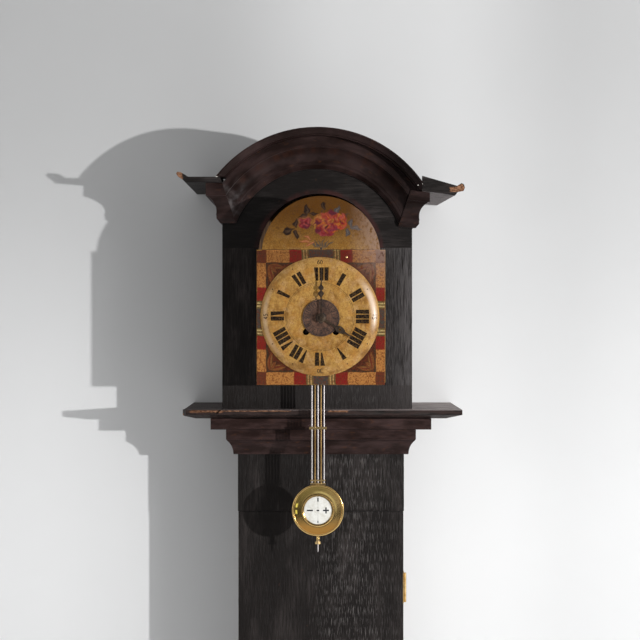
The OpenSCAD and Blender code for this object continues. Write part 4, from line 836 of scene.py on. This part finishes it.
def figure(mark):
    """The strokes of a figure or sign, in a box 0.6 wide and 1 high, as lists of points."""
    def ring(cx, cz, rx, rz, start, end):
        return [(cx + rx * math.cos(math.radians(a)), cz + rz * math.sin(math.radians(a)))
                for a in np.linspace(start, end, 15)]

    return {
        "0": [ring(0.3, 0.5, 0.27, 0.5, 0, 360)],
        "1": [[(0.3, 0), (0.3, 0.5), (0.3, 1)], [(0.3, 1), (0.2, 0.9), (0.12, 0.85)]],
        "2": [ring(0.3, 0.74, 0.25, 0.26, 170, -40) + [(0.05, 0)],
              [(0.05, 0), (0.3, 0), (0.58, 0)]],
        "3": [ring(0.28, 0.75, 0.24, 0.25, 150, -80), ring(0.28, 0.26, 0.28, 0.26, 80, -150)],
        "4": [[(0.42, 0), (0.42, 0.5), (0.42, 1)], [(0.42, 1), (0.2, 0.6), (0.02, 0.3)],
              [(0.02, 0.3), (0.3, 0.3), (0.58, 0.3)]],
        "5": [[(0.52, 1), (0.3, 1), (0.12, 1)], [(0.12, 1), (0.1, 0.8), (0.08, 0.58)],
              ring(0.28, 0.31, 0.28, 0.31, 130, -150)],
        "6": [ring(0.3, 0.3, 0.26, 0.3, 0, 360), ring(0.62, 0.34, 0.58, 0.66, 178, 95)],
        "7": [[(0.05, 1), (0.3, 1), (0.56, 1)], [(0.56, 1), (0.35, 0.5), (0.2, 0)]],
        "8": [ring(0.3, 0.74, 0.22, 0.25, 0, 360), ring(0.3, 0.26, 0.27, 0.26, 0, 360)],
        "9": [ring(0.3, 0.7, 0.26, 0.3, 0, 360), ring(-0.02, 0.66, 0.58, 0.66, -2, -85)],
        "+": [[(0, 0.5), (0.3, 0.5), (0.6, 0.5)], [(0.3, 0.2), (0.3, 0.5), (0.3, 0.8)]],
        "-": [[(0, 0.5), (0.3, 0.5), (0.6, 0.5)]],
    }[mark]


def spoke(angle):
    """Unit steps outward and clockwise at an angle from twelve o'clock, in degrees."""
    a = math.radians(angle)
    return np.array([math.sin(a), math.cos(a)]), np.array([math.cos(a), -math.sin(a)])


def circle(radius, start=0, end=360, count=145):
    """Points of a circle or an arc, between two angles from twelve o'clock, in degrees."""
    turn = np.radians(np.linspace(start, end, count))
    return radius * np.stack([np.sin(turn), np.cos(turn)], -1)


def write(strips, word, centre, radius, angle, height, width):
    """Draws a word round a centre at a clock angle, its top outward."""
    out, over = spoke(angle)
    for k, mark in enumerate(word):
        left = (k - len(word) / 2) * 0.74 * height + 0.07 * height
        for stroke in figure(mark):
            strips.line([centre + out * (radius + (up - 0.5) * height) + over * (left + across * height)
                         for across, up in stroke], width)


HOURS = {
    12: "X-7.2 I3.1 I12.6", 1: "I0", 2: "I-4.8 I4.8", 3: "I-9.3 I0 I9.3",
    4: "I-13.6 I-4.6 I4.6 I13.6", 5: "V0", 6: "V-4.6 I5.6", 7: "V-11.5 I0.6 I10.2",
    8: "V-16.5 I-5 I4.5 I14", 9: "I-3.8 X6", 10: "X1.6", 11: "X-4.6 I6.2",
}
HOUR_FOOT, HOUR_TOP = 69.6, 95.4
STROKES = {"I": ((-3.7, 3.7), (-4.2, 4.2)), "X": ((-1, 4.4), (-4.4, 3.6)),
           "V": ((0.2, 2.2), (-5.2, 3.8))}
hours = Strips()
radii = np.linspace(HOUR_FOOT, HOUR_TOP, 7)
share = (radii - HOUR_FOOT) / (HOUR_TOP - HOUR_FOOT)
for hour, strokes in HOURS.items():
    out, over = spoke(hour * 30)
    for stroke in strokes.split():
        foot, top = STROKES[stroke[0]]
        hours.add(*([RAISED + out * r + over * o for r, o in zip(
            radii, float(stroke[1:]) + foot[edge] * (1 - share) + top[edge] * share)] for edge in (0, 1)))
roman = hours.mesh("roman_hours", RAISED, dial_front, 0.14)

small = Strips()
for word, angle in (("60", 0), ("15", 90), ("30", 180), ("45", 270)):
    write(small, word, RAISED, 105.5, angle, 7.6, 1.3)
for k in range(12):
    if k % 3:
        small.line([RAISED + (106 + s) * spoke(30 * k)[0] for s in (-1.1, 0, 1.1)], 2.2)
quarter = small.mesh("quarter_figures", RAISED, dial_front, 0.1)

rings = Strips()
for radius, width in ((66.5, 0.7), (64, 0.4)):
    rings.line(RAISED + circle(radius), width)
inner_ring = rings.mesh("inner_ring", RAISED, dial_front, 0.08)

for piece, ink, bare_share in (
    (roman, (0.01, 0.0062, 0.0042), 0.14), (quarter, (0.026, 0.014, 0.007), 0.7),
    (inner_ring, (0.085, 0.048, 0.02), 0.9),
):
    black = Finish("black_of_" + piece.name)
    under, line, fine = ochre(black)
    gone = black.cloud((0.6, 0.5, 0.6), 4, 0.8).rises(0.56, 0.68) * bare_share
    varnish(black, black.coats(ink, (under, gone), (under, line * 0.25)), line, fine)
    piece.data.materials.append(black.material)
    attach(piece, "hood")

# Alarm disc and hands:
# The disc and the hands are tarnished brass, nearly brown. The disc carries twelve framed
# figures, cut in lines, and dark arcs round its centre: a painted shadow of the hand nut.


def tarnished(name, dark, bright, share, metal):
    """Brown old brass: dark tarnish over a metal that shows where it was touched."""
    finish = Finish(name, Metallic=metal)
    cloud = finish.cloud(0.07, 5, 0.7)
    fine = finish.cloud(0.5)
    touched = (cloud * 0.8 + fine * 0.3).rises(0.42, 0.72) * share
    finish.paint(finish.mix(dark, bright, touched), 0.36 + fine * 0.22)
    finish.bump(fine, 0.0003, 0.4)
    return finish.material


dress(tarnished("brown_disc", (0.036, 0.015, 0.008), (0.14, 0.068, 0.04), 1, 0.1), "alarm_disc")
dark_hand = tarnished("brown_hands", (0.022, 0.014, 0.01), (0.09, 0.058, 0.034), 0.9, 0.6)
dress(dark_hand, "minute_hand", "hour_hand", "hand_nut")

cuts_and_nut_shadow = Strips()
for k in range(12):
    write(cuts_and_nut_shadow, str(k or 12), np.zeros(2), 27.6, 30 * k, 7.6, 1.35)
    cuts_and_nut_shadow.line([r * spoke(30 * k + 15)[0] for r in np.linspace(21.5, 34, 5)], 0.9)
for radius, width in ((21.5, 0.9), (34, 1.6)):
    cuts_and_nut_shadow.line(circle(radius), width)
# Painted shadow: dark arcs round the centre, where the hand nut casts its shade.
for start, end, radius, width in ((160, 205, 9.4, 2.2), (235, 310, 9, 2.8), (20, 75, 10, 1.8)):
    cuts_and_nut_shadow.line(circle(radius, start, end, 14), width)
disc_front = disc_low[1] + 0.6
engraved_and_nut_shadow = cuts_and_nut_shadow.mesh("disc_figures", (0, 0), lambda r: np.full(np.shape(r), disc_front), 0.06)
cut = Finish("cut_lines_and_nut_shadow", Roughness=0.6)
worn = cut.cloud((0.6, 1, 0.6)).rises(0.4, 0.7)
cut.sets("Base Color", cut.mix((0.006, 0.003, 0.002), (0.03, 0.014, 0.009), worn))
engraved_and_nut_shadow.data.materials.append(cut.material)
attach(engraved_and_nut_shadow, "alarm_disc")

# Hand ornament:
# Two flat bulges of thin sheet brass stand out at both sides of the minute hand. They are
# one sheet, and turn with the hand.


def seal(mesh, hull=False):
    """Turns a mesh's faces outward, if asked after wrapping its points in their hull."""
    solid = bmesh.new()
    solid.from_mesh(mesh)
    if hull:
        wrap = bmesh.ops.convex_hull(solid, input=solid.verts)
        bmesh.ops.delete(solid, geom=list(set(wrap["geom_interior"])), context="VERTS")
    bmesh.ops.recalc_face_normals(solid, faces=solid.faces)
    solid.to_mesh(mesh)
    solid.free()


minute_low, minute_high = box_mm("minute_hand")
half_widths = ((37, 0.9), (40, 1.4), (42.5, 3.4), (45, 5.2), (47.5, 5.7), (50, 4.6), (52, 2.2),
               (53.4, 1.5), (55, 3.4), (57.5, 5.4), (60, 5), (62.5, 2.8), (65, 1.4), (68, 0.9))
middle = (minute_low[0] + minute_high[0]) / 2
outline = [(middle + w, r) for r, w in half_widths] + [(middle - w, r) for r, w in half_widths[::-1]]
points = [(x, minute_low[1] + behind, DIAL_Z + r) for behind in (0.15, 0.65) for x, r in outline]
count, rows = len(outline), len(half_widths)
faces = [(k, k + 1, count - 2 - k, count - 1 - k)[::-1] for k in range(rows - 1)]
faces += [tuple(count + i for i in face[::-1]) for face in faces]
faces += [(k, (k + 1) % count, (k + 1) % count + count, k + count) for k in range(count)]
mesh = built("minute_hand_bulges", points, faces)
seal(mesh)
bulges = stand("minute_hand_bulges", mesh, dark_hand)
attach(bulges, "minute")

# Brass and steel:
# The pendulum is polished brass with the spin marks of the lathe on its bob, and its rods
# are brass and whitish steel in turn, with painted shade on their flanks. The movement is
# duller.


def brass(name, tone, roughness, tarnish, rings_at=None):
    """Brass with fine rubbing marks, or with turned rings round a point (x, z) in mm. The
    turned one is the bob, on which the picture's reflections are painted: olive above,
    amber below, a crescent and two yellow spots."""
    finish = Finish(name, Metallic=1)
    x, y, z = finish.spot
    cloud = finish.cloud(0.06, 4, 0.65)
    rub = finish.cloud(0.9)
    tarnished_tone = (tone[0] * 0.42, tone[1] * 0.34, tone[2] * 0.24)
    colour = finish.mix(tone, tarnished_tone, cloud.rises(0.45, 0.75) * tarnish)
    if rings_at:
        across, up = x - rings_at[0], z - rings_at[1]
        radius = distance(across, up)
        inside_rim = 1 - radius.rises(46, 50)
        from_spots = abs(up - 3)
        olive = (up - across).rises(-30, 45) * radius.rises(30, 36) * inside_rim
        amber = (up * -1).rises(5, 38) * radius.rises(32, 36) * inside_rim
        crescent = radius.within(33.5, 37.5, 2) * (up + across).rises(18, 44)
        spots = radius.within(41, 45, 1.2) * (1 - across.rises(-38, -34))
        spots = spots * from_spots.rises(1.5, 3.5) * (1 - from_spots.rises(9, 12))
        colour = finish.coats(
            colour,
            ((0.2, 0.15, 0.035), olive * 0.75),
            ((0.48, 0.23, 0.042), amber * 0.85),
            ((0.64, 0.5, 0.17), crescent * 0.75),
            ((0.9, 0.72, 0.12), spots),
            ((0.11, 0.065, 0.022), radius.within(27.4, 30.4, 0.6) * 0.8),
        )
        finish.sets("Metallic", 1 - amber * 0.6 - crescent * 0.45 - spots * 0.7)
        finish.bump(finish.noise((radius * 1.3, 3, 5), 3, 0.7) + rub * 0.12, 0.0004, 0.55)
    else:
        finish.bump(rub, 0.0002, 0.4)
    finish.paint(colour, roughness + cloud * 0.14)
    return finish.material


enamel_low, enamel_high = box_mm("bob_enamel")
BOB = ((enamel_low[0] + enamel_high[0]) / 2, (enamel_low[2] + enamel_high[2]) / 2)
dress(brass("spun_brass", (0.7, 0.47, 0.18), 0.1, 0.3, BOB), "bob")
bright = brass("bright_brass", (0.8, 0.57, 0.27), 0.22, 0.4)
dress(bright, "gridiron_bars", "rating_nut")
dress(brass("dull_brass", (0.6, 0.42, 0.19), 0.34, 0.9), "door_hinge_leaves",
      "door_hinge_straps", "door_latch", "front_plate", "back_plate", "plate_pillars", "bell",
      "going_barrel", "alarm_barrel", "intermediate_wheel", "centre_wheel", "third_wheel",
      "escape_wheel", "cannon_pinion", "minute_wheel", "hour_wheel", "alarm_wheel")

steel = Finish("grey_steel", Metallic=1)
cloud = steel.cloud(0.08, 5, 0.7)
rusted = cloud.rises(0.48, 0.72) * 0.7
steel.paint(steel.mix((0.5, 0.49, 0.47), (0.13, 0.085, 0.055), rusted), 0.28 + cloud * 0.25)
steel.bump(steel.cloud(0.8), 0.0002, 0.4)
dress(steel.material, "going_click", "alarm_click", "anchor", "alarm_detent", "alarm_hammer",
      "suspension_spring")
# Nearly black steel: on the winding arbors it is painted shade that stands for their dark holes; the fixing
# screw's head is dark as well.
dark_steel_and_hole_shade = tarnished("near_black_steel", (0.01, 0.009, 0.009), (0.06, 0.055, 0.055), 0.8, 0.7)
dress(dark_steel_and_hole_shade, "going_arbor", "alarm_arbor")

ROD_PITCH = 6.03
rods = Finish("rods_in_turn", Metallic=1)
x, y, z = rods.spot
yellow = abs(x - BOB[0]).within(ROD_PITCH * 0.5, ROD_PITCH * 1.5)
yellow = yellow * (1 - z.rises(BOB[1] + 260, BOB[1] + 262))
cloud = rods.cloud((0.02, 0.02, 0.012))
worn = cloud.rises(0.4, 0.7)
turn_of = rods.number("FRACT", (x - BOB[0]) / ROD_PITCH + 4.5, 0)
# Painted shade: each rod darkens toward its flanks.
painted_flank_shade = abs(turn_of - 0.5).rises(0.9 / ROD_PITCH, 1.5 / ROD_PITCH)
rods.paint(rods.coats(
    rods.mix((0.52, 0.48, 0.48), (0.4, 0.37, 0.36), worn),
    (rods.mix((0.3, 0.19, 0.075), (0.17, 0.1, 0.035), worn), yellow),
    ((0.06, 0.045, 0.035), painted_flank_shade * 0.85),
), 0.42 + cloud * 0.1)
dress(rods.material, "gridiron_rods")

# Enamel:
# A white enamel disc with a fine upright line, and a minus and a plus beside it that show
# which way the nut slows and speeds the clock.
white = Finish("white_enamel", Coat_Weight=0.6, Coat_Roughness=0.06)
x, y, z = white.spot
cloud = white.cloud((0.12, 0.1, 0.12), 4)
crack = 1 - white.cracks((x * 0.09, y * 0.1, z * 0.09 + cloud * 0.8)).rises(0.004, 0.02)
white.paint(white.coats(
    (0.8, 0.79, 0.74),
    ((0.68, 0.66, 0.59), cloud.rises(0.4, 0.7)),
    ((0.3, 0.28, 0.24), abs(x - BOB[0]).within(-1, 0.35, 0.12) * 0.7),
    ((0.42, 0.38, 0.31), crack * 0.35),
), 0.16 + cloud * 0.12)
dress(white.material, "bob_enamel")

signs = Strips()
sign_at = np.array([BOB[0] - DIAL_X, BOB[1] - DIAL_Z])
for word, shift in (("-", -16), ("+", 16)):
    write(signs, word, sign_at + np.array([shift, 0]), 0, 0, 20, 2.8)
for foot, top, width in ((-1.4, 1.4, 5.2), (17.5, 25, 2.6), (-25, -20.5, 1.8)):
    signs.line([sign_at + np.array([0, h]) for h in np.linspace(foot, top, 5)], width)
ENAMEL_RISE = 1.6
enamel_r = (enamel_high[0] - enamel_low[0]) / 2
ball_r = (enamel_r**2 + ENAMEL_RISE**2) / (2 * ENAMEL_RISE)


def enamel_front(radius):
    """The Y in mm of the slightly domed enamel at a distance from its centre."""
    return enamel_low[1] + ball_r - np.sqrt(ball_r**2 - np.minimum(radius, enamel_r) ** 2)


sign_marks = signs.mesh("enamel_signs", sign_at, enamel_front, 0.1)
sign_ink = Finish("enamel_ink", Roughness=0.35)
faint = sign_ink.cloud(1).rises(0.5, 0.8)
sign_ink.sets("Base Color", sign_ink.mix((0.012, 0.012, 0.016), (0.09, 0.09, 0.09), faint))
sign_marks.data.materials.append(sign_ink.material)
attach(sign_marks, "pendulum")

# Nail and fixings:
# A bright round-headed nail in the border, a dark screw under the spray and pale chips
# of gesso where the arch meets its wings.


def turned_head(name, material, x, z, profile, sides=20):
    """A small turned piece on the shield whose axis points forward, at x and z in mm from
    the hands' arbor: profile lists radius and height."""
    rows = len(profile)
    points = [(DIAL_X + x + r * math.cos(a), SHIELD_FRONT - 0.1 - rise, DIAL_Z + z + r * math.sin(a))
              for r, rise in profile + [(0, profile[-1][1])]
              for a in np.linspace(0, 2 * np.pi, sides, endpoint=False)][:rows * sides + 1]
    pairs = [(i, (i + 1) % sides) for i in range(sides)]
    faces = [(k * sides + i, k * sides + j, (k + 1) * sides + j, (k + 1) * sides + i)
             for k in range(rows - 1) for i, j in pairs]
    last = (rows - 1) * sides
    faces += [(last + i, last + j, rows * sides) for i, j in pairs]
    mesh = built(name, points, faces)
    mesh.shade_smooth()
    piece = stand(name, mesh, material)
    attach(piece, "hood")
    return piece


dome = [(2.3 * math.cos(t), 1.4 * math.sin(t)) for t in np.linspace(0, 1.4, 6)]
nail = turned_head("bright_nail", bright, 49.8, 118, dome)
screw = turned_head("fixing_screw", dark_steel_and_hole_shade, 0.5, 135, [(2.2, 0), (2.1, 0.4), (1, 0.5)])

gesso = Finish("chipped_gesso", Roughness=0.8)
gesso.sets("Base Color", gesso.mix((0.75, 0.72, 0.66), (0.4, 0.33, 0.26), gesso.cloud(0.5).rises(0.4, 0.7)))
rng = np.random.default_rng(9)


def chip(name, centre, size):
    """A splinter: the hull of fourteen points pulled at random from a small ball."""
    golden = np.pi * (3 - 5**0.5)
    k = np.arange(14)
    up = 1 - 2 * (k + 0.5) / 14
    ring = np.sqrt(1 - up**2)
    ball = np.stack([ring * np.cos(golden * k), ring * np.sin(golden * k), up], -1)
    points = np.array(centre) + ball * np.array(size) * rng.uniform(0.6, 1.15, (14, 1))
    mesh = built(name, points, [])
    seal(mesh, hull=True)
    piece = stand(name, mesh, gesso.material)
    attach(piece, "hood")


for k, (cx, cz, size) in enumerate((
    (-204.5, 2026, 2.6), (-207.5, 2021.8, 2.4), (-201, 2030, 1.6),
    (196, 2008, 3), (199.5, 2006.5, 3.2), (193, 2004, 1.8),
)):
    chip(f"gesso_chip_{k}", (cx, depth(262 + k % 3), cz), (size, size * 0.9, size * 0.8))

# Worn edges:
# The boards' and mouldings' edges are rounded by a narrow bevel, as wear has done.
for width, nodes in (
    (1.6, ("waist_shelf", "waist_steps")),
    (1.4, ("plinth",)),
    (1.2, ("wing_board_left", "wing_board_right", "base_panels")),
    (0.8, ("hood_frame", "hood_sides", "trunk_rails", "trunk_door", "trunk_sides", "box_top",
           "box_bottom", "dial_shield")),
    (0.7, ("hood_arch_board",)),
):
    for node in nodes:
        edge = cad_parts[node].modifiers.new("worn_edge", "BEVEL")
        edge.width = width / 1000
        edge.segments = 2
        edge.limit_method = "ANGLE"
        edge.angle_limit = math.radians(50)
        edge.harden_normals = False

# Room:
# A plastered wall close behind the clock and a pale floor under it, lit by a small lamp on
# the right at the dial's height, by two windows and by a room that is dark in front. The
# wall is painted lighter low down, beside the clock and at the far left, and a little darker
# at the far right: painted light that evens out the lamp's fall-off.
ROOM_SIDE, ROOM_FRONT, ROOM_TOP = 6, -7, 5
FLOOR_Z = -0.001
WALL_FACE = WALL_Y + 0.002


def flat_sheet(name, *corners):
    """A flat four-cornered sheet."""
    mesh = bpy.data.meshes.new(name)
    mesh.from_pydata(corners, [], [(0, 1, 2, 3)])
    sheet = stand(name, mesh)
    return sheet


foot_left, foot_right = (-ROOM_SIDE, WALL_FACE, FLOOR_Z), (ROOM_SIDE, WALL_FACE, FLOOR_Z)
wall = flat_sheet("wall", foot_left, foot_right,
                  (ROOM_SIDE, WALL_FACE, ROOM_TOP), (-ROOM_SIDE, WALL_FACE, ROOM_TOP))
floor = flat_sheet("floor", (-ROOM_SIDE, ROOM_FRONT, FLOOR_Z), (ROOM_SIDE, ROOM_FRONT, FLOOR_Z),
                   foot_right, foot_left)
plaster = Finish("plaster", Roughness=0.9)
x, y, z = plaster.spot
# Painted light: the plaster's colour evens out the lamp's fall-off.
low_down = 1 - z.rises(1150, 2350)
beside = 1 - abs(x - 150).rises(90, 430)
far_left = (1 - x.rises(-650, -280)) * (1 - z.rises(1450, 2150))
light = low_down * 0.24 + beside * 0.13 + far_left * 0.09 - x.rises(250, 600) * 0.03
mottle = plaster.cloud(0.004) * 0.03
plaster.sets("Base Color", plaster.mix((0, 0, 0), (1, 1, 1), light + mottle + 0.49))
floor.data.materials.append(plaster.material)

# Open back:
# The wall is clear to all that meets it from behind, and where the clock covers it from
# the front, so that the clock's back is seen and lit.
open_backed = plaster.material.copy()
open_backed.name = "plaster_open_backed"
wall_tree = Nodes(open_backed.node_tree)
seen_behind = Wire(wall_tree, wall_tree.make("NewGeometry", {}).outputs["Backfacing"])
x, y, z = (part * 1000 for part in wall_tree.parts("Object"))
behind_trunk = x.within(-140, 140, 1) * (1 - z.rises(1500, 1502))
behind_hood = x.within(-180, 165, 1) * z.within(1600, 1870, 1)
across, up = x - HOOD_X, z - ARCH_Z
behind_arch = (1 - (across * across + up * up).rises(170**2, 171**2)) * z.rises(1870, 1872)
kept_wall = (1 - behind_trunk) * (1 - behind_hood) * (1 - behind_arch)
shader = open_backed.node_tree.nodes["Principled BSDF"]
wall_tree.feed(shader.inputs["Alpha"], (1 - seen_behind) * kept_wall)
wall.data.materials.append(open_backed)

world = bpy.data.worlds.new("room")
world.use_nodes = True
room = Nodes(world.node_tree)
x, y, z = room.parts("Generated")
ahead = (y * -1).rises(0.55, 0.93)
background = world.node_tree.nodes["Background"]
background.inputs["Color"].default_value = (0.98, 0.99, 1, 1)
room.feed(background.inputs["Strength"], 0.72 - ahead * 0.63)
bpy.context.scene.world = world

for name, wide, tall, energy, place, turned in (
    ("side_lamp", 0.05, 0.05, 128, (2.9, WALL_Y - 2.9, 1.765), 45),
    ("right_window", 0.3, 1.5, 10, (2.6, WALL_Y - 2.9, 2.55), 45),
    ("left_window", 0.6, 1, 5, (-2.6, WALL_Y - 2.6, 2.1), -45),
):
    lamp_data = bpy.data.lights.new(name, "AREA")
    lamp_data.shape = "RECTANGLE"
    lamp_data.size = wide
    lamp_data.size_y = tall
    lamp_data.energy = energy
    lamp = stand(name, lamp_data)
    lamp.location = place
    lamp.rotation_euler = (math.radians(90), 0, math.radians(turned))
